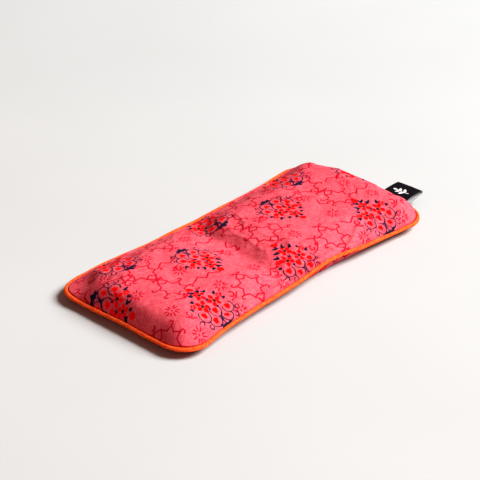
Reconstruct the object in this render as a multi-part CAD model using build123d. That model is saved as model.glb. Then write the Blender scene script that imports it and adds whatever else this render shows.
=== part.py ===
"""Eye pillow: a piped cotton cover with an envelope underside and a woven label,
round a muslin pouch of flaxseed and lavender buds.

Millimetres, +Z up, resting on z = 0.  The origin is the centre of the resting
face and +X points to the label end.  An "inset" is a distance inside the
piping centre line, measured in plan.
"""
from build123d import *
import os
from math import hypot

# Overall size, piping included; the width is taken at the corners
LENGTH = 215.0
WIDTH = 104.4
CORNER_R = 17.4             # on the piping centre line
LONG_PULL_IN = 4.0          # how far the long sides draw in at mid length

# Piping
PIPING_R = 1.20             # outer radius of the covered cord
CORD_R = 0.80
STRIP_T = 0.35              # bias strip round the cord
FLANGE_OVERLAP = 0.4        # flange runs this far into the tube

# Cloth and seam
SEAM_Z = 6.5                # height of the piping centre line
FABRIC_T = 0.4              # printed cotton
MUSLIN_T = 0.3              # pouch cloth
SEAM_INSET = 1.30           # stitch fold line
ALLOWANCE = 6.0             # seam allowance turned inside
PLY_GAP = 0.1               # between stacked layers in the seam
TOP_GAP = 1.25              # top allowance above the seam plane
THREAD_R = 0.12

# Cover profiles: (inset, height)
CROWN = [   # underside of the top panel
    (SEAM_INSET, 7.6), (2.4, 9.1), (4.3, 10.7), (7.5, 13.0), (11.5, 15.4), (16.8, 17.6)]
BELLY = [   # outside of the bottom panels
    (SEAM_INSET, 5.65), (2.4, 4.0), (4.4, 2.1), (7.5, 0.6), (11.0, 0.0)]

# Shallow valley across the top
VALLEY_DEPTH = 4.6
VALLEY_R = 45.0
VALLEY_X = -12.0            # where it crosses the centre line
VALLEY_TURN = -4.0          # degrees off the Y direction

# Woven label
LABEL_W = 18.5
LABEL_Y = -22.5
LABEL_OUT = 18.5            # length standing clear of the piping
LABEL_T = 0.33              # one layer
LABEL_GAP = 0.10            # between the two layers
LABEL_CLEAR = 0.16          # above the piping
LABEL_TAIL = 5.0            # tail length inside the stitch line
BRIDGE_LIFT = 0.95          # top panel edge rises this much over the label
BRIDGE_DEPTH = 4.6          # bridge length inside the stitch line
BRIDGE_SIDE = 1.0           # bridge beyond each side of the label

# Envelope underside
HEM_LONG_X = -62.0          # free edge of the long outer panel
HEM_SHORT_X = -32.0         # free edge of the short inner panel
HEM_LAP = 0.75              # the inner panel lies this far above the outer
LAP_INSET = SEAM_INSET + 1.3    # edge of the raised part of the short panel
STEP_X = HEM_LONG_X - 0.7       # where the short panel steps up
HEM_STITCH_IN = 6.0             # hem stitching from the free edge
HEM_THREAD_R = 0.1
HEM_THREAD_LIFT = 0.15          # thread centre above the cloth
HEM_THREAD_LENGTH = 68

# Pouch
POUCH_INSET = 8.2           # pouch seam
POUCH_ALLOWANCE = 4.0
POUCH_HALF_GAP = 0.05       # each allowance from the seam plane
POUCH_THREAD_R = 0.11
POUCH_VALLEY = FABRIC_T + 0.6   # added to the valley radius at the pouch
POUCH_TOP = [   # (inset, height), underside of the top cloth
    (POUCH_INSET, 6.55), (8.7, 9.2), (9.7, 11.7), (11.5, 13.8), (14.0, 15.4), (16.8, 16.5)]
POUCH_BOTTOM = [    # (inset, height), outside of the bottom cloth
    (POUCH_INSET, 6.15), (8.8, 4.3), (10.0, 2.7), (12.0, 1.75), (14.5, 1.5)]

# Seed fill
FILL_CLEAR = 0.25           # seed to pouch cloth
FOLD_X = -10.0              # middle fold
FOLD_Z = 7.0                # fold axis height
FOLD_HALF_GAP = 0.6         # half the slot under the fold axis
FOLD_RISE = 20              # height of the V above the fold axis
FOLD_SLOPE = 1.7321         # tan 60 degrees, run over rise of each V side

# Lavender buds: radius, length
BUD = (1.05, 4.6)
BUD_HOLLOW = (1.35, 5.4)
BUD_FILLET = 0.6            # share of the radius
BUD_SPOTS = [   # x (mirrored for the plain end), y, z, turn in degrees
    (22, -22, 9.5, 20), (30, 14, 6.5, 75), (38, -6, 12.0, 130), (47, 24, 9.0, 10),
    (52, -27, 7.5, 60), (58, 3, 5.5, 100), (64, -14, 11.5, 35), (71, 20, 12.0, 150),
    (77, -30, 9.0, 95), (82, 6, 8.0, 55), (86, -12, 5.8, 165), (45, -16, 5.6, 140)]

# Cutting blocks reach past the pillow
FAR_X, FAR_Y, FAR_Z = 130, 70, 40

# Derived outline: the long sides are arcs centred outside the pillow,
# tangent to the corner arcs
PIPE_X = LENGTH / 2 - PIPING_R
PIPE_Y = WIDTH / 2 - PIPING_R
CORNER_X = PIPE_X - CORNER_R
CORNER_Y = PIPE_Y - CORNER_R
CORNER_DROP = CORNER_R - LONG_PULL_IN
LONG_R = (CORNER_X ** 2 + CORNER_DROP ** 2 - CORNER_R ** 2) / (2 * LONG_PULL_IN)
LONG_CENTRE_Y = PIPE_Y - LONG_PULL_IN + LONG_R

# Derived seam positions
STITCH_X = PIPE_X - SEAM_INSET              # stitch line at the label end
TOP_ALLOWANCE_Z = SEAM_Z + TOP_GAP
LABEL_TAIL_Z = SEAM_Z + STRIP_T + PLY_GAP   # underside of the lower tail
LONG_PLY_TOP = SEAM_Z - STRIP_T - PLY_GAP
LONG_PLY = (LONG_PLY_TOP - FABRIC_T, LONG_PLY_TOP)
SHORT_PLY_TOP = LONG_PLY[0] - PLY_GAP
SHORT_PLY = (SHORT_PLY_TOP - FABRIC_T, SHORT_PLY_TOP)


# ---------------------------------------------------------------- helpers
def outline(inset, z=0.0):
    """Closed outline: straight short ends, round corners, drawn-in long sides."""
    to_x, to_y = -CORNER_X, LONG_CENTRE_Y - CORNER_Y
    reach = hypot(to_x, to_y)
    to_x, to_y = to_x / reach, to_y / reach
    radius = CORNER_R - inset
    half_reach = hypot(1 + to_x, to_y)
    end = (PIPE_X - inset, CORNER_Y)
    middle = (CORNER_X + radius * (1 + to_x) / half_reach,
              CORNER_Y + radius * to_y / half_reach)
    side = (CORNER_X + radius * to_x, CORNER_Y + radius * to_y)
    waist = (0.0, PIPE_Y - LONG_PULL_IN - inset)

    def at(point, sign_x=1, sign_y=1):
        return (point[0] * sign_x, point[1] * sign_y, z)

    arc = Edge.make_three_point_arc
    return Wire([
        Edge.make_line(at(end, 1, -1), at(end)),
        arc(at(end), at(middle), at(side)),
        arc(at(side), at(waist), at(side, -1, 1)),
        arc(at(side, -1, 1), at(middle, -1, 1), at(end, -1, 1)),
        Edge.make_line(at(end, -1, 1), at(end, -1, -1)),
        arc(at(end, -1, -1), at(middle, -1, -1), at(side, -1, -1)),
        arc(at(side, -1, -1), at(waist, 1, -1), at(side, 1, -1)),
        arc(at(side, 1, -1), at(middle, 1, -1), at(end, 1, -1)),
    ])


def prism(inset, z0, z1):
    return extrude(Face(outline(inset, z0)), amount=z1 - z0, dir=(0, 0, 1))


def ring(outer_inset, inner_inset, z0, z1):
    return prism(outer_inset, z0, z1) - prism(inner_inset, z0 - 1, z1 + 1)


def block(x0, x1, y0, y1, z0, z1):
    centre = Pos((x0 + x1) / 2, (y0 + y1) / 2, (z0 + z1) / 2)
    return centre * Box(x1 - x0, y1 - y0, z1 - z0)


def slab(x0, x1):
    """Block across the whole pillow between two x values."""
    return block(x0, x1, -FAR_Y, FAR_Y, -5, FAR_Z)


def label_block(x0, side, z0, z1):
    """Block from x0 outwards, wider than the label by side on each side."""
    reach = LABEL_W / 2 + side
    return block(x0, FAR_X, LABEL_Y - reach, LABEL_Y + reach, z0, z1)


def body(profile, lift=0.0):
    """Solid lofted through the outline at each inset and height."""
    rows = sorted(profile, key=lambda row: row[1])
    return Solid.make_loft([outline(inset, z + lift) for inset, z in rows])


def valley(extra=0.0):
    """Round bar that presses the valley; extra grows it for inner layers."""
    z = CROWN[-1][1] + FABRIC_T - VALLEY_DEPTH + VALLEY_R
    return (Pos(VALLEY_X, 0, z) * Rot(0, 0, VALLEY_TURN) * Rot(90, 0, 0)
            * Cylinder(VALLEY_R + extra, 300))


def dome(profile, thickness, extra=0.0):
    """Upper cloth shell with the valley pressed in."""
    return ((body(profile, thickness) - valley(extra))
            - (body(profile) - valley(extra + thickness)))


def loop(inset, z, radius=THREAD_R):
    """Round bar following the outline."""
    path = outline(inset, z)
    plane = Plane(origin=path @ 0, z_dir=path % 0)
    return sweep(Face(Wire([Edge.make_circle(radius, plane=plane)])), path=path)


def y_bar(x, y, z, radius, length):
    return Pos(x, y, z) * Rot(90, 0, 0) * Cylinder(radius, length)


def save(shape, name):
    if isinstance(shape, (list, tuple)):
        shape = Compound(children=list(shape))
    shape.label = name
    export_step(shape, os.path.join("parts", name + ".step"))


# ---------------------------------------------------------------- cover
def top_panel():
    """Domed panel, its allowance, and a bridge where the label passes under."""
    z = TOP_ALLOWANCE_Z
    allowance = ring(SEAM_INSET, SEAM_INSET + ALLOWANCE, z, z + FABRIC_T)
    bridge_x = STITCH_X - BRIDGE_DEPTH
    bridge = (label_block(bridge_x, BRIDGE_SIDE, z, z + BRIDGE_LIFT + FABRIC_T)
              & prism(SEAM_INSET, 0, FAR_Z))
    tunnel = label_block(bridge_x + FABRIC_T, BRIDGE_SIDE - FABRIC_T, 0, z + BRIDGE_LIFT)
    return (dome(CROWN, FABRIC_T) + allowance + bridge) - tunnel


def outer_layer():
    """Outer shell of the underside with its seam allowance."""
    shell = body(BELLY) - body(BELLY, FABRIC_T)
    return shell + ring(SEAM_INSET, SEAM_INSET + ALLOWANCE, *LONG_PLY)


def bottom_panel_long():
    return outer_layer() & slab(HEM_LONG_X, FAR_X)


def bottom_panel_short():
    """Outer layer at the plain end, stepping up to tuck inside the long panel."""
    lap_top = body(BELLY, HEM_LAP + FABRIC_T)
    lap_slab = slab(STEP_X - FABRIC_T, HEM_SHORT_X)
    end = outer_layer() & slab(-FAR_X, STEP_X)
    # Raised layer: floor, upright edge, then allowance
    lap = ((body(BELLY, HEM_LAP) - lap_top) & prism(LAP_INSET, -3, SEAM_Z - 1.1)) & lap_slab
    lap += ring(LAP_INSET, LAP_INSET + FABRIC_T, 4.4, SHORT_PLY[1]) & lap_slab
    lap += ring(LAP_INSET, SEAM_INSET + ALLOWANCE, *SHORT_PLY) & lap_slab
    riser = (((body(BELLY) - lap_top) & prism(SEAM_INSET, -3, 4.6))
             & slab(STEP_X - FABRIC_T, STEP_X))
    return end + lap + riser


def hem_thread():
    """One stitch line on each free edge, just above the cloth."""
    lines = [(HEM_LONG_X + HEM_STITCH_IN, FABRIC_T),
             (HEM_SHORT_X - HEM_STITCH_IN, HEM_LAP + FABRIC_T)]
    return [y_bar(x, 0, z + HEM_THREAD_LIFT, HEM_THREAD_R, HEM_THREAD_LENGTH)
            for x, z in lines]


def piping_cover():
    """Bias strip round the cord, with a two-layer flange in the seam."""
    tube = loop(0.0, SEAM_Z, PIPING_R)
    bore = loop(0.0, SEAM_Z, PIPING_R - STRIP_T)
    flange = ring(PIPING_R - FLANGE_OVERLAP, SEAM_INSET + ALLOWANCE,
                  SEAM_Z - STRIP_T, SEAM_Z + STRIP_T)
    return (tube + flange) - bore


def woven_label():
    """One strip folded in half, both tails in the seam, passing over the piping."""
    tail_x = STITCH_X - LABEL_TAIL
    ramp_x = STITCH_X - 1.4             # starts to climb
    over_x = PIPE_X - 0.55              # level again over the piping
    tip_x = PIPE_X + PIPING_R + LABEL_OUT
    low = LABEL_TAIL_Z
    high = SEAM_Z + PIPING_R + LABEL_CLEAR
    full_t = 2 * LABEL_T + LABEL_GAP
    slit_top = LABEL_T + LABEL_GAP

    outside = [
        (tail_x, low), (ramp_x, low), (over_x, high), (tip_x - 0.5, high),
        (tip_x - 0.1, high + 0.15), (tip_x, high + full_t / 2),
        (tip_x - 0.1, high + full_t - 0.15), (tip_x - 0.5, high + full_t),
        (over_x - 0.2, high + full_t), (ramp_x - 0.2, low + full_t), (tail_x, low + full_t)]
    slit = [    # gap between the layers, open at the tails
        (tail_x - 1, low + LABEL_T), (ramp_x - 0.1, low + LABEL_T),
        (over_x - 0.1, high + LABEL_T), (tip_x - 0.7, high + LABEL_T),
        (tip_x - 0.55, high + full_t / 2), (tip_x - 0.7, high + slit_top),
        (over_x - 0.15, high + slit_top), (ramp_x - 0.15, low + slit_top),
        (tail_x - 1, low + slit_top)]

    def across(points):
        y = LABEL_Y - LABEL_W / 2
        wire = Wire.make_polygon([(x, y, z) for x, z in points], close=True)
        return extrude(Face(wire), amount=LABEL_W, dir=(0, 1, 0))

    return across(outside) - across(slit)


def cover_seam_thread():
    """Needle line above the allowances, its hop over the label, bobbin line below."""
    needle_inset = SEAM_INSET + 1.75
    cloth_top = TOP_ALLOWANCE_Z + FABRIC_T
    needle = loop(needle_inset, cloth_top + 0.20) - label_block(PIPE_X - 8, 1.6, 0, FAR_Z)
    hop = y_bar(PIPE_X - needle_inset, LABEL_Y, cloth_top + BRIDGE_LIFT + 0.18,
                THREAD_R, LABEL_W + 1.0)
    bobbin = loop(SEAM_INSET + 2.6, SHORT_PLY[0] - 0.16)
    return [needle, hop, bobbin]


# ---------------------------------------------------------------- pouch
def pouch_allowance(z0):
    return ring(POUCH_INSET, POUCH_INSET + POUCH_ALLOWANCE, z0, z0 + MUSLIN_T)


def inner_pouch_top():
    return dome(POUCH_TOP, MUSLIN_T, POUCH_VALLEY) + pouch_allowance(SEAM_Z + POUCH_HALF_GAP)


def inner_pouch_bottom():
    shell = body(POUCH_BOTTOM) - body(POUCH_BOTTOM, MUSLIN_T)
    return shell + pouch_allowance(SEAM_Z - POUCH_HALF_GAP - MUSLIN_T)


def pouch_seam_thread():
    offset = POUCH_HALF_GAP + MUSLIN_T + 0.16
    return [loop(POUCH_INSET + 1.6, SEAM_Z + sign * offset, POUCH_THREAD_R)
            for sign in (1, -1)]


# ---------------------------------------------------------------- fill
def seed_fill():
    """Whole seed fill, cut at the fold by a slot that opens upwards to a V."""
    fill = ((body(POUCH_TOP, -FILL_CLEAR) - valley(POUCH_VALLEY + MUSLIN_T + FILL_CLEAR))
            + body(POUCH_BOTTOM, MUSLIN_T + FILL_CLEAR)
            + prism(POUCH_INSET + 2.0, 5.0, 8.0))
    fill = fill & prism(POUCH_INSET + 0.9, 0.5, 30)
    # Room for the pouch allowances and their stitching
    fill = fill - ring(POUCH_INSET - 2, POUCH_INSET + POUCH_ALLOWANCE + 0.4,
                       SEAM_Z - 0.75, SEAM_Z + 0.75)
    near = FOLD_HALF_GAP
    far = near + FOLD_SLOPE * FOLD_RISE
    top = FOLD_Z + FOLD_RISE
    section = [(-near, 0), (-near, FOLD_Z), (-far, top), (far, top), (near, FOLD_Z), (near, 0)]
    wedge = Wire.make_polygon([(FOLD_X + x, -60, z) for x, z in section], close=True)
    return fill - extrude(Face(wedge), amount=120, dir=(0, 1, 0))


def buds(sign, radius, length):
    """Rounded rods at the bud spots, on the +X or -X side."""
    rods = []
    for x, y, z, turn in BUD_SPOTS:
        rod = Cylinder(radius, length)
        rod = fillet(rod.edges().filter_by(GeomType.CIRCLE), radius * BUD_FILLET)
        rods.append(Pos(sign * x, sign * y, z) * Rot(0, 0, turn) * Rot(0, 90, 0) * rod)
    return rods


def save_fill():
    """Two seed heaps, each bud in its own hollow."""
    fill = seed_fill()
    ends = [("plain_end", -1, slab(-FAR_X, FOLD_X)), ("label_end", 1, slab(FOLD_X, FAR_X))]
    for end, sign, side in ends:
        heap = fill & side
        for hollow in buds(sign, *BUD_HOLLOW):
            heap = heap - hollow
        save(heap, "flaxseed_fill_" + end)
        save(buds(sign, *BUD), "lavender_buds_" + end)


os.makedirs("parts", exist_ok=True)
for piece in (top_panel, bottom_panel_long, bottom_panel_short, hem_thread, piping_cover,
              woven_label, cover_seam_thread, inner_pouch_top, inner_pouch_bottom,
              pouch_seam_thread):
    save(piece(), piece.__name__)
save(loop(0.0, SEAM_Z, CORD_R), "piping_cord")
save_fill()
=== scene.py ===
# Eye pillow: a low cushion in printed cotton with a piped edge, filled with
# flaxseed and lavender in an inner pouch.  It rests on the table (z = 0) with
# its length along X: plain end at -X, woven label at +X.  The middle crease
# runs roughly along Y.  Lengths are in millimetres in the CAD frame unless
# noted; the mesh builders turn them into metres.
import math
import bmesh
import bpy
import numpy as np
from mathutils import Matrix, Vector
from mathutils.kdtree import KDTree


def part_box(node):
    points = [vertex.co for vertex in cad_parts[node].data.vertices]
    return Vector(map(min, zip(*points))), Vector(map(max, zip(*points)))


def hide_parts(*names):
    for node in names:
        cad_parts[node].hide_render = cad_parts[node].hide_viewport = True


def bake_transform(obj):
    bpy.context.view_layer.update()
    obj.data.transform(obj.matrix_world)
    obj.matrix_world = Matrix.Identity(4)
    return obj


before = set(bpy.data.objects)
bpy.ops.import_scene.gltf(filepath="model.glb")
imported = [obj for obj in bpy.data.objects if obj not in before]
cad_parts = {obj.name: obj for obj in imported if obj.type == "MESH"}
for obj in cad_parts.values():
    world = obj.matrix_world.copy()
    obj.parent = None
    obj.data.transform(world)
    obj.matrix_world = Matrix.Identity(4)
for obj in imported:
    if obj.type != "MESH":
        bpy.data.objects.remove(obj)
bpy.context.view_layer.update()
MM = 0.001

# ---------------------------------------------------------------- sizes
pipe_lo, pipe_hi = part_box("piping_cover")
PIPE_R = (pipe_hi.z - pipe_lo.z) * 500.0
HALF_L = pipe_hi.x * 1000 - PIPE_R        # to the piping centre line
HALF_W = pipe_hi.y * 1000 - PIPE_R
SEAM_Z = (pipe_hi.z + pipe_lo.z) * 500.0

# the plan: round corners joined by long sides that bow inwards on an arc
CORNER_R = 17.4
DRAW_IN = 4.0                             # of the long sides at mid length
CORNER_X, CORNER_Y = HALF_L - CORNER_R, HALF_W - CORNER_R
_rest = CORNER_R - DRAW_IN
SIDE_R = (CORNER_X ** 2 + _rest ** 2 - CORNER_R ** 2) / (2 * (CORNER_R - _rest))
SIDE_Y = (HALF_W - DRAW_IN) + SIDE_R      # centre of the +Y side's arc

FOLD_X, FOLD_Z, FOLD_HALF = -10.0, 7.0, 24.0   # where the two halves bend

# insets below are measured inwards from the piping centre line
PANEL_EDGE = 1.2                          # where the cover starts to rise
ALLOWANCE = 7.4                           # raw edge of the seam allowance
ALLOWANCE_MID = 4.2
POUCH_EDGE = 8.2
HEAP_EDGE = POUCH_EDGE + 1.1

LABEL_W = 18.5
LIFT_Y = -22.5                            # centre of the panel's lift over the label
LAP = 0.75                                # rise of the short back panel over the long one
LAP_START_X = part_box("bottom_panel_long")[0].x * 1000
LAP_END_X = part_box("bottom_panel_short")[1].x * 1000


# ---------------------------------------------------------------- shaping helpers
def smooth(t):
    t = np.clip(t, 0.0, 1.0)
    return t * t * (3 - 2 * t)


def bell(dx, width_x, dy=0.0, width_y=1.0):
    return np.exp(-(dx / width_x) ** 2 - (dy / width_y) ** 2)


def spline_weights(t):
    """cubic B-spline weights of four neighbours (smooths)"""
    return [(1 - t) ** 3 / 6, (3 * t ** 3 - 6 * t ** 2 + 4) / 6,
            (-3 * t ** 3 + 3 * t ** 2 + 3 * t + 1) / 6, t ** 3 / 6]


def catmull_weights(t):
    """Catmull-Rom weights of four neighbours (passes through the points)"""
    return [-0.5 * t + t ** 2 - 0.5 * t ** 3, 1 - 2.5 * t ** 2 + 1.5 * t ** 3,
            0.5 * t + 2 * t ** 2 - 1.5 * t ** 3, -0.5 * t ** 2 + 0.5 * t ** 3]


NOISE_GAIN = 1.6                          # brings the noise to about -1..1


def noise2(x, y, scale, seed):
    """smooth random field with features about scale mm across"""
    table = np.random.default_rng(seed).standard_normal((64, 64))
    fx, fy = x / scale + 20.0, y / scale + 20.0
    ix, iy = np.floor(fx).astype(int), np.floor(fy).astype(int)
    wx, wy = spline_weights(fx - ix), spline_weights(fy - iy)
    out = np.zeros_like(fx)
    for i in range(4):
        for j in range(4):
            out += wx[i] * wy[j] * table[(ix + i - 1) % 64, (iy + j - 1) % 64]
    return out * NOISE_GAIN


def noise1(s, count, seed):
    """smooth periodic noise along the seam (s = 0..1), count features round it"""
    table = np.random.default_rng(seed).standard_normal(count)
    f = (s % 1.0) * count
    i = np.floor(f).astype(int)
    weights = spline_weights(f - i)
    return sum(weights[k] * table[(i + k - 1) % count] for k in range(4)) * NOISE_GAIN


# ---------------------------------------------------------------- outline
def four_quarters(quarter):
    """mirror the +X +Y quarter round the whole loop"""
    return np.vstack([quarter, (quarter * [-1, 1])[::-1][1:], (quarter * [-1, -1])[1:],
                      (quarter * [1, -1])[::-1][1:-1]])


def outline(n=2400):
    """n even points on the piping centre line, outward normals, length"""
    join = np.array([-CORNER_X, SIDE_Y - CORNER_Y])
    join /= np.hypot(*join)
    points, normals = [], []
    for y in np.linspace(0, CORNER_Y, 400)[:-1]:
        points.append((HALF_L, y))
        normals.append((1, 0))
    for t in np.linspace(0, math.atan2(join[1], join[0]), 500)[:-1]:
        points.append((CORNER_X + CORNER_R * math.cos(t), CORNER_Y + CORNER_R * math.sin(t)))
        normals.append((math.cos(t), math.sin(t)))
    meet_x, meet_y = CORNER_X + CORNER_R * join[0], CORNER_Y + CORNER_R * join[1]
    for t in np.linspace(math.atan2(meet_y - SIDE_Y, meet_x), -math.pi / 2, 900):
        points.append((SIDE_R * math.cos(t), SIDE_Y + SIDE_R * math.sin(t)))
        normals.append((-math.cos(t), -math.sin(t)))
    points, normals = four_quarters(np.array(points)), four_quarters(np.array(normals))
    points, normals = np.vstack([points, points[:1]]), np.vstack([normals, normals[:1]])
    s = np.r_[0, np.cumsum(np.hypot(*np.diff(points, axis=0).T))]
    t = np.linspace(0, s[-1], n, endpoint=False)
    even = np.c_[np.interp(t, s, points[:, 0]), np.interp(t, s, points[:, 1])]
    facing = np.c_[np.interp(t, s, normals[:, 0]), np.interp(t, s, normals[:, 1])]
    facing /= np.hypot(facing[:, 0], facing[:, 1])[:, None]
    return even, facing, s[-1]


SEAM, SEAM_OUT, SEAM_LENGTH = outline()
SEAM_TREE = KDTree(len(SEAM))
for _i, _p in enumerate(SEAM):
    SEAM_TREE.insert((_p[0], _p[1], 0), _i)
SEAM_TREE.balance()


def edge_gaps(x, y):
    """distances in from the end and from the long side"""
    return HALF_L - np.abs(x), np.hypot(x, SIDE_Y - np.abs(y)) - SIDE_R


def inset(x, y):
    """distance inside the piping centre line"""
    end, side = edge_gaps(x, y)
    qx, qy = CORNER_R - end, CORNER_R - side
    return (CORNER_R - np.hypot(np.maximum(qx, 0), np.maximum(qy, 0))
            - np.minimum(np.maximum(qx, qy), 0))


def end_share(x, y, blend):
    """1 near the ends, 0 near the long sides, mixed over blend mm"""
    end, side = edge_gaps(x, y)
    return 1 / (1 + np.exp(-(side - end) / blend))


def seam_param(x, y):
    """0..1 round the loop, smooth near the seam"""
    end, side = edge_gaps(x, y)
    ax, ay = np.abs(x), np.abs(y)
    straight = np.minimum(ay, CORNER_Y)
    arc = CORNER_R * np.arctan2(np.maximum(ay - CORNER_Y, 0), np.maximum(ax - CORNER_X, 1e-9))
    past_corner = CORNER_Y + CORNER_R * math.pi / 2
    s = np.where(ax >= CORNER_X, straight + arc,
                 np.where(side < end, past_corner + np.maximum(CORNER_X - ax, 0), straight))
    quarter = past_corner + CORNER_X
    turned = np.where(y >= 0, np.where(x >= 0, s, 2 * quarter - s),
                      np.where(x < 0, 2 * quarter + s, 4 * quarter - s))
    return turned / (4 * quarter)


# ---------------------------------------------------------------- height grids
GRID_STEP = 0.5
GRID_X = np.arange(-114.0, 114.01, GRID_STEP)
GRID_Y = np.arange(-60.0, 60.01, GRID_STEP)
PLAN_X, PLAN_Y = np.meshgrid(GRID_X, GRID_Y, indexing="ij")


def blur(a, sigma):
    """Gaussian blur; sigma in grid steps"""
    r = int(3 * sigma + 1)
    k = np.exp(-0.5 * (np.arange(-r, r + 1) / sigma) ** 2)
    k /= k.sum()
    for axis in (0, 1):
        p = np.pad(a, [(r, r) if i == axis else (0, 0) for i in (0, 1)], mode="edge")
        a = sum(k[i] * (p[i:i + a.shape[0], :] if axis == 0 else p[:, i:i + a.shape[1]])
                for i in range(2 * r + 1))
    return a


def sample(grid, x, y):
    """smooth lookup in a height grid"""
    fx = np.clip((x - GRID_X[0]) / GRID_STEP, 1.0, len(GRID_X) - 3.001)
    fy = np.clip((y - GRID_Y[0]) / GRID_STEP, 1.0, len(GRID_Y) - 3.001)
    ix, iy = np.floor(fx).astype(int), np.floor(fy).astype(int)
    wx, wy = catmull_weights(fx - ix), catmull_weights(fy - iy)
    out = 0
    for i in range(4):
        for j in range(4):
            out = out + wx[i] * wy[j] * grid[ix + i - 1, iy + j - 1]
    return out


# ---------------------------------------------------------------- heights
CROWN = 10.0                              # rise of the filled cover above its edge


def valley_centre(y):
    """x of the middle crease"""
    return -16.5 + 7.0 * smooth((y - 12.0) / 24.0) + 0.07 * y


def crown_soft(x, y):
    """slow part of the crown; goes below zero outside the seam"""
    depth = inset(x, y) - PANEL_EDGE
    ends = end_share(x, y, 6.0)
    t = np.minimum(depth / 27.0, 1.0)
    steepness = 2.1 - 0.45 * smooth((y - 5.0) / 20.0)
    side_rise = CROWN * (1 - np.maximum(1 - t, 0) ** steepness)
    t = np.minimum(depth / 15.0, 1.0)
    label_rise = CROWN * (1 - np.maximum(1 - t, 0) ** 2.4)
    # plain end: the cloth lies low beside the seam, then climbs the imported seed
    delay = (1.5 + 1.5 * np.sin(y / 12.0 + 0.5) + 0.8 * np.sin(y / 5.3)
             + 1.6 * smooth((np.abs(y + 4) - 22) / 18.0))
    plain_rise = 7.2 * (1 - np.exp(-(np.maximum(depth - 0.30 * delay, 0) / 4.5) ** 1.4))
    plain_rise += 2.8 * (1 - (1 - np.clip(depth / 32.0, 0, 1)) ** 2.0)
    end_rise = np.where(x < 0, plain_rise, label_rise)
    f = side_rise * (1 - ends) + end_rise * ends
    # the empty +Y corner of the plain end lies flat before the seed starts
    f = f * (1 - 0.93 * np.exp(-(((x + 101.0) ** 2 + (y - 44.0) ** 2) / 13.5 ** 2) ** 2))
    # the middle valley, steeper towards the label and shallower to -Y
    g = x - valley_centre(y)
    valley = 0.41 * bell(g, np.where(g < 0, 20.0, 12.5))
    valley = valley * (1 - 0.40 * smooth((-y - 14.0) / 22.0))
    f = f * (1 - valley)
    # each half swells a little
    lobe = 0.9 * bell(x - 42, 34.0, y, 30.0)
    lobe += 0.9 * bell(x + 62, 28.0, y, 30.0)
    return f + lobe * smooth(depth / 14.0)


SOFT = blur(crown_soft(PLAN_X, PLAN_Y), 2.2)


def no_lift(x, y):
    return 0 * x


def label_lift(x, y):
    """the panel edge rides up over the label"""
    w = 1 - smooth((np.abs(y - LIFT_Y) - LABEL_W / 2 + 0.3) / 3.0)
    return 1.95 * smooth((x - 97.0) / 6.0) * w


def lap_lift(x, y):
    """the short back panel rides up over the edge of the long one"""
    return LAP * smooth((x - (LAP_START_X - 4.0)) / 3.5)


def top_height(x, y):
    depth = inset(x, y) - PANEL_EDGE
    ends = end_share(x, y, 6.0)
    quick_rise = (0.75 + 0.75 * ends) * (1 - np.exp(-np.maximum(depth, 0) / 1.0))
    return (SEAM_Z + 0.45 + quick_rise + sample(SOFT, x, y)
            + label_lift(x, y) * np.exp(-np.maximum(depth, 0) / 3.0))


def bottom_height(x, y):
    t = np.clip((inset(x, y) - PANEL_EDGE) / 6.2, 0, 1)
    return (SEAM_Z - 0.45) * (1 - t) ** 2.2


def warp(verts):
    """seam waviness and sag shared by every layer, fading to nothing at the table"""
    x, y, z = verts[:, 0], verts[:, 1], verts[:, 2]
    edge = np.exp(-np.maximum(inset(x, y), 0) / 9.0)
    up = 2.6 * bell(x - 22, 24.0) * smooth(-y / 30.0)         # -Y side, mid length
    up += 0.8 * bell(x + 10, 26.0) * smooth(y / 30.0)         # +Y side
    up -= 2.0 * smooth((-x - 66) / 34.0)                      # plain end sits lower
    up -= 1.0 * smooth((x - 48) / 30.0) * smooth((10 - y) / 40.0)   # -Y label corner too
    up += 0.35 * noise2(x, y, 14.0, 5)
    new_z = z + up * edge * np.clip(z / SEAM_Z, 0, 1)
    new_y = y + 0.9 * bell(x - 20, 20.0) * smooth(-y / 30.0) * edge
    new_y = new_y + 0.22 * noise2(x, y, 11.0, 6) * edge
    new_x = x + 0.22 * noise2(x, y, 11.0, 7) * edge
    # the plain-end corners are turned out a little sharper
    corner = smooth((-x - 84.0) / 18.0) * smooth((np.abs(y) - 30.0) / 16.0) * edge
    return np.c_[new_x - 1.0 * corner, new_y + 1.0 * np.sign(y) * corner, new_z]


# ---------------------------------------------------------------- meshes
def smooth_shade(mesh):
    mesh.polygons.foreach_set("use_smooth", np.ones(len(mesh.polygons), bool))


def make_mesh(name, verts, quads, tris=None):
    """object from vertices in millimetres"""
    mesh = bpy.data.meshes.new(name)
    verts = np.asarray(verts, float) * MM
    mesh.vertices.add(len(verts))
    mesh.vertices.foreach_set("co", verts.astype(np.float32).ravel())
    quads = np.asarray(quads, np.int32)
    tris = np.asarray(np.zeros((0, 3)) if tris is None else tris, np.int32)
    corners = np.r_[quads.ravel(), tris.ravel()].astype(np.int32)
    starts = np.r_[np.arange(len(quads)) * 4, quads.size + np.arange(len(tris)) * 3]
    mesh.loops.add(len(corners))
    mesh.loops.foreach_set("vertex_index", corners)
    mesh.polygons.add(len(starts))
    mesh.polygons.foreach_set("loop_start", starts.astype(np.int32))
    mesh.update(calc_edges=True)
    mesh.validate()
    smooth_shade(mesh)
    ob = bpy.data.objects.new(name, mesh)
    bpy.context.scene.collection.objects.link(ob)
    return ob


def verts_mm(mesh):
    co = np.zeros(len(mesh.vertices) * 3, np.float32)
    mesh.vertices.foreach_get("co", co)
    return co.reshape(-1, 3).astype(float) / MM


def add_uv(ob, uv):
    """per-vertex uv in cloth millimetres"""
    mesh = ob.data
    layer = mesh.uv_layers.new(name="cloth")
    index = np.zeros(len(mesh.loops), np.int32)
    mesh.loops.foreach_get("vertex_index", index)
    layer.data.foreach_set("uv", uv[index].astype(np.float32).ravel())


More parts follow.
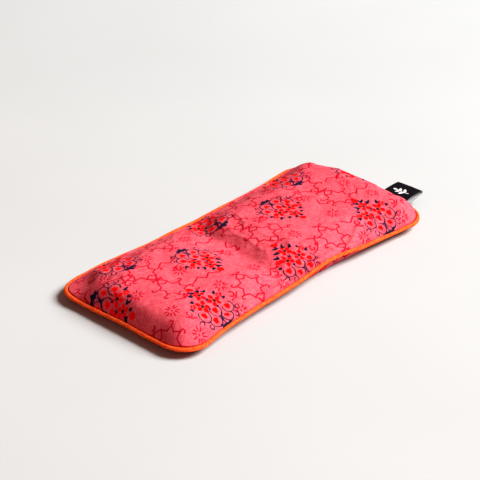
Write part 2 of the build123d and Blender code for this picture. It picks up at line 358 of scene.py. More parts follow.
def add_attr(ob, name, values):
    attr = ob.data.attributes.new(name, "FLOAT", "POINT")
    attr.data.foreach_set("value", np.asarray(values, np.float32))


def grid_quads(nu, nv, off=0, flip=False):
    i, j = np.meshgrid(np.arange(nu - 1), np.arange(nv - 1), indexing="ij")
    a = (i * nv + j + off).ravel()
    quads = np.c_[a, a + nv, a + nv + 1, a + 1]
    return quads[:, ::-1] if flip else quads


def border_loop(nu, nv, off=0):
    """vertex indices round a grid, counter-clockwise seen from above"""
    index = [i * nv for i in range(nu)]
    index += [(nu - 1) * nv + j for j in range(1, nv)]
    index += [i * nv + nv - 1 for i in range(nu - 2, -1, -1)]
    index += [j for j in range(nv - 2, 0, -1)]
    return np.array(index) + off


def coons(d, nu, nv):
    """grid of plan points filling the outline inset by d"""
    loop = SEAM - SEAM_OUT * d
    n = len(loop)
    ids = []
    for corner in ((-1, -1), (1, -1), (1, 1), (-1, 1)):
        sign = np.array(corner)
        middle = sign * [CORNER_X, CORNER_Y] + (CORNER_R - d) * sign / math.sqrt(2)
        ids.append(int(np.argmin(np.hypot(*(loop - middle).T))))

    def piece(i0, i1, m):
        t = i0 + np.linspace(0, (i1 - i0) % n, m)
        f = np.floor(t).astype(int)
        w = (t - f)[:, None]
        return loop[f % n] * (1 - w) + loop[(f + 1) % n] * w
    low = piece(ids[0], ids[1], nu)               # -Y side
    right = piece(ids[1], ids[2], nv)             # +X end
    high = piece(ids[2], ids[3], nu)[::-1]
    left = piece(ids[3], ids[0], nv)[::-1]
    u = np.linspace(0, 1, nu)[:, None, None]
    v = np.linspace(0, 1, nv)[None, :, None]
    S = (1 - v) * low[:, None] + v * high[:, None] + (1 - u) * left[None] + u * right[None]
    S -= ((1 - u) * (1 - v) * low[0] + u * (1 - v) * low[-1]
          + (1 - u) * v * high[0] + u * v * high[-1])
    return S[..., 0], S[..., 1]


def zip_loops(a, b):
    """triangles joining two closed loops with different counts, same direction"""
    na, nb = len(a), len(b)
    tris, i, j = [], 0, 0
    while i < na or j < nb:
        if j >= nb or (i < na and (i + 1) / na <= (j + 1) / nb):
            tris.append((a[i % na], a[(i + 1) % na], b[j % nb]))
            i += 1
        else:
            tris.append((a[i % na], b[(j + 1) % nb], b[j % nb]))
            j += 1
    return np.array(tris)


def shell(x, y, z, under, under_shape, under_inset, turn_in, lift=no_lift, up=True):
    """closed cloth shell.  x, y, z: grid of the outer face; under: height
    function of the coarser hidden face; turn_in: (inset, height) loops of the
    turned-in allowance between them, raised by lift."""
    nu, nv = x.shape
    outer = np.c_[x.ravel(), y.ravel(), z.ravel()]
    verts = [outer]
    quads = [grid_quads(nu, nv, flip=not up)]
    prev = border_loop(nu, nv)
    off, count = len(outer), len(prev)
    near = np.array([SEAM_TREE.find((a, b, 0))[1] for a, b in outer[prev, :2]])
    turn_quads = []
    for d, height in turn_in:
        plan = SEAM[near] - SEAM_OUT[near] * d
        verts.append(np.c_[plan, height + lift(plan[:, 0], plan[:, 1])])
        cur = np.arange(off, off + count)
        next_prev, next_cur = np.roll(prev, -1), np.roll(cur, -1)
        turn_quads.append(np.c_[prev, cur, next_cur, next_prev] if up
                          else np.c_[prev, next_prev, next_cur, cur])
        prev = cur
        off += count
    mu, mv = under_shape
    xi, yi = coons(under_inset, mu, mv)
    verts.append(np.c_[xi.ravel(), yi.ravel(), under(xi, yi).ravel()])
    quads.append(grid_quads(mu, mv, off, flip=up))
    tris = zip_loops(prev, border_loop(mu, mv, off))
    return np.vstack(verts), np.vstack(quads + turn_quads), tris[:, ::-1] if up else tris


def cut_piece(name, mesh_parts, x_cut, keep_low):
    """shell cut across at x_cut and closed, then warped; also returns flat points"""
    ob = make_mesh(name, *mesh_parts)
    bm = bmesh.new()
    bm.from_mesh(ob.data)
    cut = bmesh.ops.bisect_plane(bm, geom=bm.verts[:] + bm.edges[:] + bm.faces[:],
                                 plane_co=(x_cut * MM, 0, 0), plane_no=(1, 0, 0),
                                 clear_outer=keep_low, clear_inner=not keep_low)
    edges = [e for e in cut["geom_cut"] if isinstance(e, bmesh.types.BMEdge)]
    bmesh.ops.triangle_fill(bm, use_beauty=True, use_dissolve=False, edges=edges)
    bmesh.ops.recalc_face_normals(bm, faces=bm.faces[:])
    bm.to_mesh(ob.data)
    bm.free()
    flat = verts_mm(ob.data)
    ob.data.vertices.foreach_set("co", (warp(flat) * MM).astype(np.float32).ravel())
    smooth_shade(ob.data)
    return ob, flat


def sweep_loop(sections):
    """closed sweep of (rings, points, 3) sections; flip turns a section's faces"""
    verts, quads, off = [], [], 0
    for section, flip in sections:
        n, m = section.shape[:2]
        verts.append(section.reshape(-1, 3))
        i, j = np.meshgrid(np.arange(n), np.arange(m), indexing="ij")
        i, j, i2, j2 = i.ravel(), j.ravel(), ((i + 1) % n).ravel(), ((j + 1) % m).ravel()
        q = np.c_[i * m + j, i2 * m + j, i2 * m + j2, i * m + j2] + off
        quads.append(q[:, ::-1] if flip else q)
        off += n * m
    return np.vstack(verts), np.vstack(quads)


def capped_tubes(count, rings, sides):
    """faces of separate short tubes with fan caps"""
    quads, tris = [], []
    for off in range(0, count * rings * sides, rings * sides):
        for k in range(rings - 1):
            a = off + k * sides
            for j in range(sides):
                j2 = (j + 1) % sides
                quads.append((a + j, a + j2, a + sides + j2, a + sides + j))
        end = off + (rings - 1) * sides
        tris += [(off, off + j + 1, off + j) for j in range(1, sides - 1)]
        tris += [(end, end + j, end + j + 1) for j in range(1, sides - 1)]
    return np.array(quads), np.array(tris)


# ---------------------------------------------------------------- print
# The print is drawn as distance fields on the cloth, in cloth millimetres:
# negative or small means ink.  Red petals, navy leaves and scrolls, crimson
# lines, olive flower centres.
INKS = ("red", "navy", "line", "olive")
NO_INK = 9.0
SIGNS = ((-1, -1), (-1, 1), (1, -1), (1, 1))
STAR_R = 8.6
DAISY_R = 4.5


def path_d(P, points):
    """distance to a broken line"""
    d = np.full(len(P), 1e3)
    for a, b in zip(points[:-1], points[1:]):
        a, b = np.array(a, float), np.array(b, float)
        ab = b - a
        t = np.clip(((P - a) @ ab) / max(ab @ ab, 1e-9), 0, 1)
        d = np.minimum(d, np.hypot(*(P - a - t[:, None] * ab).T))
    return d


def leaf_d(P, base, tip, width):
    a, b = np.array(base, float), np.array(tip, float)
    length = np.hypot(*(b - a))
    u = (b - a) / length
    q = P - a
    s = q @ u / length
    v = q @ np.array([-u[1], u[0]])
    half = width * np.sin(np.pi * np.clip(s, 0, 1)) ** 0.8
    return np.maximum(np.abs(v) - half, np.maximum(-s, s - 1) * length)


def curl(centre, r, start, turn, n=12, shrink=0.62):
    """a curl that winds in from radius r, from angle start through turn"""
    t = np.linspace(0, 1, n)
    angle = start + turn * t
    rr = r * (1 - shrink * t)
    return np.c_[centre[0] + rr * np.cos(angle), centre[1] + rr * np.sin(angle)]


class InkFields:
    """one distance field per ink; motifs reach only so far from their centre"""

    def __init__(self, x, y):
        self.points = np.c_[x, y]
        self.fields = {ink: np.full(len(x), NO_INK) for ink in INKS}

    def put(self, ink, centre, reach, distance):
        near = np.nonzero((np.abs(self.points - np.array(centre)) < reach).all(axis=1))[0]
        if len(near):
            field = self.fields[ink]
            field[near] = np.minimum(field[near], distance(self.points[near] - np.array(centre)))

    def path(self, ink, centre, reach, points, widen=0.0):
        self.put(ink, centre, reach, lambda P: path_d(P, points) - widen)

    def leaf(self, ink, centre, reach, base, tip, width):
        self.put(ink, centre, reach, lambda P: leaf_d(P, base, tip, width))


# x, y, radius, rotation
OPEN_FLOWERS = ((-4.7, 1.4, 4.1, 0.25), (5.0, 1.0, 4.0, 0.8), (0.3, 8.2, 3.7, 0.1))
# x, y, radius, start angle and turn of the ring
RINGED_BUDS = ((-8.9, -4.9, 2.0, 2.3, 4.4), (9.0, -4.9, 2.0, 0.85, -4.4),
               (0.1, -4.3, 2.1, 2.7, 4.0), (-4.3, -10.0, 1.9, 2.9, 4.4),
               (4.5, -10.0, 1.9, 0.3, -4.4))
# base, tip, width
LOOSE_LEAVES = (
    ((-0.9, 11.9), (-4.4, 14.6), 1.0), ((1.0, 12.0), (4.0, 15.2), 0.95),
    ((-3.6, 9.6), (-7.6, 11.2), 1.05), ((4.2, 9.0), (7.4, 11.4), 1.0),
    ((-7.9, 5.4), (-10.6, 8.6), 1.05), ((8.4, 5.6), (10.2, 8.4), 0.9),
    ((11.8, 0.8), (14.9, 2.2), 0.9), ((-11.4, 0.4), (-14.2, 1.0), 0.9),
    ((-1.0, 3.0), (-1.6, 5.2), 0.6), ((1.9, -1.6), (4.1, -2.9), 0.65),
    ((-2.6, -3.0), (-4.6, -2.6), 0.6))
FOOT_LEAVES = (((0, -14.2), (0, -18.0), 1.3), ((-0.4, -14.6), (-4.2, -15.6), 1.05),
               ((0.4, -14.6), (4.2, -15.6), 1.05))


def bouquet(ink, centre, up, seed, mirror):
    """bunch about 36 mm high: bud on top, open flowers, ringed buds, leafy foot"""
    rng = np.random.default_rng(100 + seed)
    s = np.array([mirror, up], float)

    def place(p, jitter=0.35):
        return (np.array(p, float) + rng.uniform(-jitter, jitter, 2)) * s

    def petal(base, tip, width):
        ink.leaf("red", centre, 19, base, tip, width)

    def leaf(base, tip, width):
        ink.leaf("navy", centre, 21, base, tip, width)

    def stroke(points, widen):
        ink.path("navy", centre, 21, np.array(points, float) * s, widen)

    def open_flower(p, radius, rot, eye=True):
        q = place(p)
        for k in range(5):
            a = rot + 2 * math.pi * k / 5 + rng.uniform(-0.12, 0.12)
            u = np.array([math.cos(a), math.sin(a)])
            f = radius * rng.uniform(0.88, 1.1)
            petal(q + u * f * 0.26, q + u * f * 1.16, f * 0.33)
        if eye:
            ink.put("olive", centre, 19, lambda P: np.hypot(*(P - q).T) - radius * 0.27)

    for x, y, radius, rot in OPEN_FLOWERS:
        open_flower((x, y), radius, rot + 1.3 * seed)
    for p in ((-9.9, 3.6), (10.3, 3.4)):
        open_flower(p, 1.9, rng.uniform(0, 3), eye=False)
    for x, y, radius, start, turn in RINGED_BUDS:
        q = place((x, y), 0.2)
        for k in (-1, 0, 1):
            a = math.pi / 2 + k * 0.8
            u = np.array([math.cos(a), math.sin(a)]) * s
            petal(q - u * radius * 0.8, q + u * radius * 1.25, radius * 0.50)
        stroke(curl((0, 0), 3.7, start, turn, 20, 0.04) * [1.0, 1.05] + q * s, 0.30)
    # scrolls below and beside
    for sg in (-1, 1):
        stroke(curl((sg * 9.4, -12.2), 1.9, math.pi / 2, sg * -4.6, shrink=0.55), 0.30)
        start = math.pi * 0.9 if sg < 0 else 0.1 * math.pi
        stroke(curl((sg * 13.6, -8.4), 1.8, start, sg * 4.4, shrink=0.55), 0.28)
    # top bud
    tip, base = place((0, 18.2)), place((0, 13.4))
    petal(base, tip, 2.0)
    # loose leaves in pairs, tucked against the flowers
    for a, b, width in LOOSE_LEAVES:
        a, b = place(a, 0.7) * 0.93, place(b, 0.7) * 0.93
        leaf(a, b, width * 0.80)
        side = rng.choice([-1.0, 1.0])
        v = b - a
        second = np.array([v[0] * 0.62 - v[1] * 0.78 * side, v[1] * 0.62 + v[0] * 0.78 * side])
        second = second * rng.uniform(0.55, 0.85)
        leaf(a + v * 0.15, a + v * 0.15 + second, width * 0.80 * 0.48
             if False else width * 0.48)
    for a, b, width in FOOT_LEAVES:
        a, b = place(a, 0.2), place(b, 0.2)
        leaf(a, b, width)
    stroke([(0, -14.6), (0.4, -12.0), (-0.2, -8.2)], 0.32)
    stroke([(-1.6, 1.6), (0.2, 3.4), (0.3, 5.8)], 0.20)
    for sg in (-1, 1):
        stroke(np.array([(0, -13.9), (2.4, -14.2), (4.6, -13.9)]) * [sg, 1], 0.30)
        # crimson horn and twig beside the bunch
        ink.path("line", centre, 24,
                 curl((sg * 16.2 * mirror, -0.5 * up), 2.3, math.pi / 2, sg * 4.6))
        twig = np.array([(14.0, -3.6), (17.4, -3.2), (20.0, -1.0)]) * [sg * mirror, up]
        ink.path("line", centre, 24, twig)


def star(ink, centre, seed):
    """eight-pointed outline with horns and curled leads"""
    rng = np.random.default_rng(300 + seed)
    R = STAR_R
    points = []
    for k in range(16):
        a = 2 * math.pi * (k + 0.5) / 16 + math.pi / 16
        radius = R * (1.0 if k % 2 == 0 else 0.68) * (1 + rng.uniform(-0.07, 0.07))
        points.append((radius * math.cos(a), radius * math.sin(a)))
    ink.path("line", centre, R + 3, points + points[:1])
    for sx, sy in SIGNS:
        # little horn outside each diagonal tip
        ink.path("line", centre, R + 7,
                 curl((sx * R * 0.93 + sx * 1.6, sy * R * 0.40 + sy * 1.5), 1.7,
                      math.atan2(-sy, -sx), sx * sy * 4.2, 10))
        # leads that cross beyond the +Y and -Y tips, each ending in a curl
        ink.path("line", centre, R + 8,
                 [(sx * R * 0.42, sy * R * 0.92), (sx * 1.0, sy * (R + 2.0)),
                  (-sx * 1.6, sy * (R + 3.8))])
        ink.path("line", centre, R + 8,
                 curl((-sx * 2.6, sy * (R + 4.4)), 1.4, 0 if sx > 0 else math.pi,
                      -sx * sy * 3.8, 9))


def daisy(ink, centre, seed):
    """ring of ten short rays round a dot"""
    rng = np.random.default_rng(500 + seed)
    for k in range(10):
        a = 2 * math.pi * k / 10 + rng.uniform(-0.12, 0.12)
        radii = DAISY_R * 0.46, DAISY_R * rng.uniform(0.80, 1.06)
        ray = [(r * math.cos(a), r * math.sin(a)) for r in radii]
        ink.path("line", centre, DAISY_R + 2, ray, widen=-0.06)
    ink.put("line", centre, 2, lambda P: np.hypot(*P.T) - 0.15)


# rows of bunches: 1 upright or -1 hanging, y, xs
BOUQUETS = (
    (1, -36.0, (-71.0, -1.5, 71.5, 143.0, -142.0)),
    (-1, 8.5, (-105.5,)), (-1, -0.5, (-42.5,)), (-1, 4.5, (34.5, 105.5, 178.0)),
    (1, 35.5, (-77.0, -1.0, 67.0, 139.0, -150.0)),
    (-1, -73.0, (-107.0, -37.0, 34.0, 107.0)),
    (-1, 72.0, (-110.0, -40.0, 33.0, 106.0)))
STARS = (
    (-76.5, 12.0), (-76.0, -12.0), (-40.0, -37.5), (-44.0, 31.5), (1.5, 18.5), (4.0, -7.0),
    (32.5, -36.0), (29.0, 33.0), (66.0, 15.0), (69.0, -10.0), (104.0, -35.0), (102.0, 37.0),
    (-108.0, -37.0), (-112.0, 34.0), (138.0, 10.0), (138.0, -12.0), (-146.0, 8.0))
DAISIES = (
    (-27.0, 27.0), (-60.0, -1.5), (-94.0, -1.5), (-63.5, 22.0), (-23.0, -24.0), (-92.0, -27.0),
    (-91.0, -48.0), (-20.5, -45.5), (15.0, -21.0), (50.5, -20.5), (15.0, 6.5), (47.5, 29.0),
    (53.5, 4.0), (86.0, -22.0), (7.0, -45.0), (51.0, -46.5), (86.5, -47.0), (79.0, 24.0),
    (84.5, -1.0), (-55.0, -27.5), (-57.5, -48.0), (-21.5, -1.0), (-94.0, 24.0),
    (-93.0, 46.0), (-62.0, 45.0), (-20.0, 44.0), (15.0, 45.0), (47.0, 45.0), (80.0, 45.0))
# crimson zigzags that tie the stars together
ZIGZAGS = (
    ((-92.5, 20.0), (-88.0, 17.0), (-89.5, 11.5), (-84.0, 12.5)),
    ((-84.5, -22.0), (-80.0, -24.5), (-76.5, -21.0), (-71.0, -24.0), (-66.5, -21.5)),
    ((-66.0, 9.0), (-61.5, 12.0), (-58.0, 8.0), (-53.5, 10.0)),
    ((-64.0, -16.0), (-58.0, -13.5), (-55.0, -17.5), (-50.5, -14.5), (-46.0, -18.0)),
    ((-56.5, 33.0), (-60.0, 30.0), (-64.0, 33.5), (-68.5, 31.0)),
    ((-33.0, 19.0), (-29.0, 16.0), (-25.5, 19.0), (-20.0, 16.0), (-14.0, 18.5)),
    ((-26.0, -33.0), (-21.0, -35.5), (-17.5, -31.5), (-13.0, -34.0)),
    ((-12.0, 8.5), (-15.5, 4.5), (-11.0, 1.5), (-14.0, -3.0)),
    ((13.5, -1.5), (17.5, -5.5), (15.5, -10.5), (20.0, -13.0)),
    ((16.5, -29.0), (21.0, -31.5), (18.0, -36.0)),
    ((40.5, 20.0), (45.0, 16.5), (42.0, 12.0), (48.5, 10.5), (55.5, 12.5)),
    ((46.5, -30.0), (52.0, -33.5), (57.5, -30.5), (61.0, -34.0)),
    ((57.5, -2.5), (54.5, -7.0), (59.0, -11.0)),
    ((78.5, 8.5), (83.0, 11.0), (87.0, 7.5), (92.0, 9.5)),
    ((79.5, -15.0), (84.0, -12.0), (88.0, -15.5), (93.0, -13.0)),
    ((84.0, 33.0), (89.0, 30.5), (92.5, 34.0)))


def add_print(ob, x, y, shift=(0.0, 0.0)):
    """ink attributes at cloth points; shift moves the cloth under the cutter"""
    ink = InkFields(x - shift[0], y - shift[1])
    bunches = [((xc, yc), up) for up, yc, xs in BOUQUETS for xc in xs]
    for k, (centre, up) in enumerate(bunches):
        bouquet(ink, centre, up, k, 1 if k % 2 else -1)
    for k, centre in enumerate(STARS):
        star(ink, centre, k)
    for k, centre in enumerate(DAISIES):
        daisy(ink, centre, k)
    for k, zigzag in enumerate(ZIGZAGS):
        centre = np.mean(zigzag, axis=0)
        points = np.array(zigzag) - centre
        ink.path("line", centre, 16, points)
        tip = points[-1]
        ink.path("line", centre, 18,
                 curl((tip[0] + 1.2, tip[1] + 1.0), 1.5, math.pi, 4.0 if k % 2 else -4.0, 9))
    for name in INKS:
        add_attr(ob, "ink_" + name, ink.fields[name])


# ---------------------------------------------------------------- shader helper
class Shader:
    """short hand for building a node tree round one Principled BSDF"""

    def __init__(self, name):
        self.mat = bpy.data.materials.new(name)
        self.mat.use_nodes = True
        self.tree = self.mat.node_tree
        self.tree.nodes.clear()
        out = self.node("OutputMaterial")
        self.bsdf = self.node("BsdfPrincipled")
        self.tree.links.new(self.bsdf.outputs[0], out.inputs[0])

    def node(self, kind):
        return self.tree.nodes.new("ShaderNode" + kind)

    def put(self, socket, value):
        """link a socket or set a value"""
        if isinstance(value, bpy.types.NodeSocket):
            self.tree.links.new(value, socket)
        elif value is not None:
            socket.default_value = value

    def math(self, op, a, b=None, clamp=False):
        n = self.node("Math")
        n.operation = op
        n.use_clamp = clamp
        self.put(n.inputs[0], a)
        self.put(n.inputs[1], b)
        return n.outputs[0]

    def add(self, a, b, clamp=False):
        return self.math("ADD", a, b, clamp)

    def sub(self, a, b, clamp=False):
        return self.math("SUBTRACT", a, b, clamp)

    def mul(self, a, b, clamp=False):
        return self.math("MULTIPLY", a, b, clamp)

    def mix(self, share, a, b, mode="MIX"):
        n = self.node("Mix")
        n.data_type = "RGBA"
        n.blend_type = mode
        self.put(n.inputs[0], share)
        for i, colour in ((6, a), (7, b)):
            self.put(n.inputs[i], colour + (1,) if isinstance(colour, tuple) else colour)
        return n.outputs[2]

    def attr(self, name):
        n = self.node("Attribute")
        n.attribute_name = name
        return n.outputs["Fac"]

    def uv(self):
        n = self.node("UVMap")
        n.uv_map = "cloth"
        return n.outputs[0]

    def mapping(self, vec, scale=(1, 1, 1), turn=0.0):
        n = self.node("Mapping")
        self.put(n.inputs[0], vec)
        n.inputs[2].default_value = (0, 0, turn)
        n.inputs[3].default_value = scale
        return n.outputs[0]

    def noise(self, vec, scale, detail=2.0, rough=0.5, distort=0.0):
        n = self.node("TexNoise")
        self.put(n.inputs["Vector"], vec)
        n.inputs["Scale"].default_value = scale
        n.inputs["Detail"].default_value = detail
        n.inputs["Roughness"].default_value = rough
        n.inputs["Distortion"].default_value = distort
        return n.outputs["Fac"]

    def ramp(self, value, stops):
        """stops: (position, linear colour)"""
        n = self.node("ValToRGB")
        self.put(n.inputs[0], value)
        elements = n.color_ramp.elements
        while len(elements) < len(stops):
            elements.new(0.5)
        for element, (position, colour) in zip(elements, stops):
            element.position = position
            element.color = colour + (1,)
        return n.outputs[0]

    def step(self, value, full, none):
        """1 below full, 0 above none, soft between"""
        n = self.node("MapRange")
        n.interpolation_type = "SMOOTHSTEP"
        self.put(n.inputs[0], value)
        for i, v in enumerate((full, none, 1.0, 0.0), 1):
            n.inputs[i].default_value = v
        return n.outputs[0]

    def sep(self, vec):
        n = self.node("SeparateXYZ")
        self.put(n.inputs[0], vec)
        return n.outputs

    def bump(self, height, dist, strength, normal=None):
        """dist in metres"""
        n = self.node("Bump")
        n.inputs["Strength"].default_value = strength
        n.inputs["Distance"].default_value = dist
        self.put(n.inputs["Height"], height)
        self.put(n.inputs["Normal"], normal)
        return n.outputs[0]

    def weave(self, uv, pitch):
        """plain weave height 0..1, warp over weft alternating; pitch in mm"""
        s = self.sep(uv)
        kx = self.mul(s[0], math.pi / pitch)
        ky = self.mul(s[1], math.pi / pitch)
        sx = self.math("SINE", kx)
        sy = self.math("SINE", ky)
        warp_on_top = self.math("GREATER_THAN", self.mul(sx, sy), 0.0)
        ax = self.math("ABSOLUTE", sx)
        ay = self.math("ABSOLUTE", sy)
        warp_thread = self.math("POWER", ax, 0.7)
        weft_thread = self.math("POWER", ay, 0.7)
        a = self.mul(warp_on_top, warp_thread)
        b = self.mul(self.sub(1.0, warp_on_top), weft_thread)
        return self.add(a, b)

    def shade_gaps(self, colour, weave, amount, depth, dark):
        """darken between the threads"""
        return self.mix(self.mul(self.sub(1.0, weave), amount), colour,
                        self.mix(depth, colour, dark))

    def done(self, colour, rough, spec, normal=None, sheen=0.0, tint=(1, 1, 1)):
        inputs = self.bsdf.inputs
        self.put(inputs["Base Color"], colour)
        self.put(inputs["Roughness"], rough)
        self.put(inputs["Specular IOR Level"], spec)
        self.put(inputs["Normal"], normal)
        if sheen:
            inputs["Sheen Weight"].default_value = sheen
            inputs["Sheen Roughness"].default_value = 0.5
            inputs["Sheen Tint"].default_value = tint + (1,)
        return self.mat


def srgb(r, g, b):
    """0-255 screen colour to linear"""
    def f(c):
        c /= 255.0
        return c / 12.92 if c <= 0.04045 else ((c + 0.055) / 1.055) ** 2.4
    return (f(r), f(g), f(b))


# ---------------------------------------------------------------- materials
def print_material(name):
    m = Shader(name)
    uv = m.uv()
    # hand-dyed ground: coral pink with paler and deeper clouds
    big = m.noise(uv, scale=0.055, detail=3.0, rough=0.55)
    mid = m.noise(uv, scale=0.33, detail=4.0, rough=0.62, distort=0.3)
    fine = m.noise(uv, scale=2.6, detail=3.0, rough=0.6)
    ground = m.ramp(big, [(0.30, srgb(205, 82, 98)), (0.50, srgb(219, 103, 116)),
                          (0.72, srgb(231, 122, 133))])
    cloud = m.ramp(mid, [(0.28, srgb(192, 62, 80)), (0.50, srgb(218, 101, 114)),
                         (0.74, srgb(241, 140, 147))])
    ground = m.mix(0.55, ground, cloud)
    # slubs along each thread direction: stretch, strength, colour
    for stretch, strength, colour in (((0.10, 2.4, 1.0), 0.9, srgb(246, 136, 144)),
                                      ((2.4, 0.10, 1.0), 0.8, srgb(198, 52, 72))):
        slub = m.noise(m.mapping(uv, stretch), scale=1.0)
        share = m.mul(m.math("ABSOLUTE", m.sub(slub, 0.5)), strength, clamp=True)
        ground = m.mix(share, ground, colour)
    # grain: deeper specks below the middle of the noise, paler above
    grain = m.noise(uv, scale=1.15, detail=3.0, rough=0.7)
    for a, b, colour in ((0.56, grain, srgb(178, 44, 62)), (grain, 0.56, srgb(250, 150, 156))):
        ground = m.mix(m.mul(m.sub(a, b, clamp=True), 2.2, clamp=True), ground, colour)
    # ink edges wander a little with the threads
    jitter = m.mul(m.sub(fine, 0.5), 0.30)
    red = m.step(m.add(m.attr("ink_red"), jitter), full=-0.12, none=0.22)
    navy = m.step(m.add(m.attr("ink_navy"), jitter), full=-0.12, none=0.20)
    line = m.step(m.add(m.attr("ink_line"), m.mul(jitter, 0.4)), full=0.30, none=0.64)
    olive = m.step(m.add(m.attr("ink_olive"), jitter), full=-0.1, none=0.25)
    wear = m.add(0.66, m.mul(mid, 0.5), clamp=True)
    red_dye = m.ramp(fine, [(0.3, srgb(224, 4, 6)), (0.6, srgb(244, 12, 8)),
                            (0.8, srgb(252, 36, 22))])
    navy_dye = m.ramp(fine, [(0.3, srgb(20, 22, 46)), (0.6, srgb(36, 40, 70)),
                             (0.85, srgb(70, 68, 98))])
    crimson, dark_eye = srgb(186, 0, 46), srgb(52, 30, 30)
    c = m.mix(m.mul(line, m.math("MINIMUM", wear, 1.0)), ground, crimson)
    c = m.mix(m.mul(red, 0.99), c, red_dye)
    c = m.mix(m.mul(navy, m.add(0.12, wear, clamp=True)), c, navy_dye)
    c = m.mix(m.mul(olive, 0.92), c, dark_eye)
    weave = m.weave(uv, pitch=0.42)
    c = m.shade_gaps(c, weave, amount=0.16, depth=0.5, dark=(0.25, 0.01, 0.03))
    rough = m.add(0.74, m.mul(mid, 0.14))
    soft = m.bump(m.noise(uv, scale=0.42, detail=3.0, rough=0.55), dist=0.00055, strength=0.35)
    normal = m.bump(weave, dist=0.00006, strength=0.5, normal=soft)
    return m.done(c, rough, spec=0.07, normal=normal, sheen=0.03, tint=(1.0, 0.5, 0.5))


def cloth_material(name, dark, base, light, pitch, diagonal, sheen, rough, noise_scale,
                   thread_bump):
    """plain woven cloth"""
    m = Shader(name)
    uv = m.uv()
    thread_uv = m.mapping(uv, turn=math.radians(45)) if diagonal else uv
    big = m.noise(uv, scale=noise_scale, detail=3.0, rough=0.6)
    fine = m.noise(uv, scale=noise_scale * 6)
    c = m.ramp(big, [(0.28, dark), (0.5, base), (0.74, light)])
    c = m.mix(m.mul(fine, 0.35), c, base)
    weave = m.weave(thread_uv, pitch)
    c = m.shade_gaps(c, weave, amount=0.30, depth=0.6, dark=dark)
    rough = m.add(rough, m.mul(big, 0.12))
    soft = m.bump(big, dist=0.0003, strength=0.3)
    normal = m.bump(weave, dist=thread_bump, strength=0.6, normal=soft)
    return m.done(c, rough, spec=0.10, normal=normal, sheen=sheen, tint=light)


def twist_material(name, dark, light, twist):
    """twisted thread or cord; uv = (along mm, around 0..1); twist: radians per mm"""
    m = Shader(name)
    uv = m.uv()
    s = m.sep(uv)
    full_turn = 6.2832
    phase = m.add(m.mul(s[0], twist), m.mul(s[1], full_turn))
    ply = m.math("ABSOLUTE", m.math("SINE", phase))
    # the grooves between the plies take the dark colour: painted shade
    c = m.ramp(m.add(m.mul(ply, 0.8), m.mul(m.noise(uv, scale=3.0), 0.3)),
               [(0.15, dark), (0.6, light), (0.95, light)])
    return m.done(c, rough=0.6, spec=0.3, normal=m.bump(ply, dist=0.00008, strength=0.7),
                  sheen=0.15, tint=light)


def seed_material(name):
    m = Shader(name)
    uv = m.uv()
    cells = m.node("TexVoronoi")
    m.put(cells.inputs["Vector"], m.mapping(uv, scale=(0.30, 0.52, 1), turn=0.6))
    cells.inputs["Scale"].default_value = 1.0
    distance = cells.outputs["Distance"]
    c = m.ramp(cells.outputs["Color"], [(0.2, srgb(92, 50, 24)), (0.5, srgb(134, 78, 38)),
                                        (0.85, srgb(176, 116, 62))])
    # cells darken towards their edges: painted shade in the gaps between the seeds
    edge = m.ramp(distance, [(0.0, (1, 1, 1)), (0.75, (0.15, 0.15, 0.15))])
    c = m.mix(0.7, c, edge, "MULTIPLY")
    height = m.sub(1.0, distance)
    rough = m.add(0.28, m.mul(m.noise(uv, scale=1.4), 0.2))
    return m.done(c, rough, spec=0.5, normal=m.bump(height, dist=0.0008, strength=0.8))


def bud_material(name):
    m = Shader(name)
    uv = m.uv()
    rib_rate = 25.13                      # eight ribs, four waves round
    rib = m.math("ABSOLUTE", m.math("SINE", m.mul(m.sep(uv)[1], rib_rate)))
    c = m.ramp(m.noise(uv, scale=1.8, detail=3.0),
               [(0.3, srgb(88, 78, 104)), (0.5, srgb(122, 108, 146)),
                (0.75, srgb(160, 150, 168))])
    c = m.mix(m.mul(rib, 0.35), c, srgb(120, 126, 92))
    return m.done(c, rough=0.85, spec=0.2, normal=m.bump(rib, dist=0.0001, strength=0.6),
                  sheen=0.1, tint=(0.8, 0.8, 1))


def label_material(name):
    """ribbed black tape, pale on the inside of the loop, with a white sprig"""
    m = Shader(name)
    uv = m.uv()
    weave = m.weave(uv, pitch=0.30)
    rib_pitch = 0.36
    rib = m.math("ABSOLUTE", m.math("SINE", m.mul(m.sep(uv)[1], math.pi / rib_pitch)))
    cloud = m.noise(uv, scale=1.1, detail=3.0)
    c = m.ramp(cloud, [(0.3, srgb(9, 9, 13)), (0.6, srgb(18, 18, 24)), (0.85, srgb(34, 34, 42))])
    # the middle of each rib is mixed towards a paler grey: painted highlight on the rib crests
    c = m.mix(m.mul(rib, 0.18), c, srgb(48, 47, 56))
    sprig = m.step(m.attr("sprig"), full=-0.10, none=0.16)
    c = m.mix(m.mul(sprig, m.add(0.72, m.mul(weave, 0.28))), c, srgb(236, 236, 234))
    c = m.mix(m.mul(m.attr("inside"), 0.85), c, srgb(178, 176, 178))
    rough = m.add(0.42, m.mul(cloud, 0.2))
    normal = m.bump(m.add(weave, m.mul(sprig, 0.6)), dist=0.00008, strength=0.7)
    return m.done(c, rough, spec=0.16, normal=normal, sheen=0.02, tint=(0.7, 0.7, 0.8))


def floor_material(name):
    m = Shader(name)
    coords = m.node("TexCoord")
    c = m.ramp(m.noise(coords.outputs["Object"], scale=6.0),
               [(0.3, (0.502, 0.528, 0.522)), (0.7, (0.520, 0.546, 0.540))])
    return m.done(c, rough=0.85, spec=0.1)


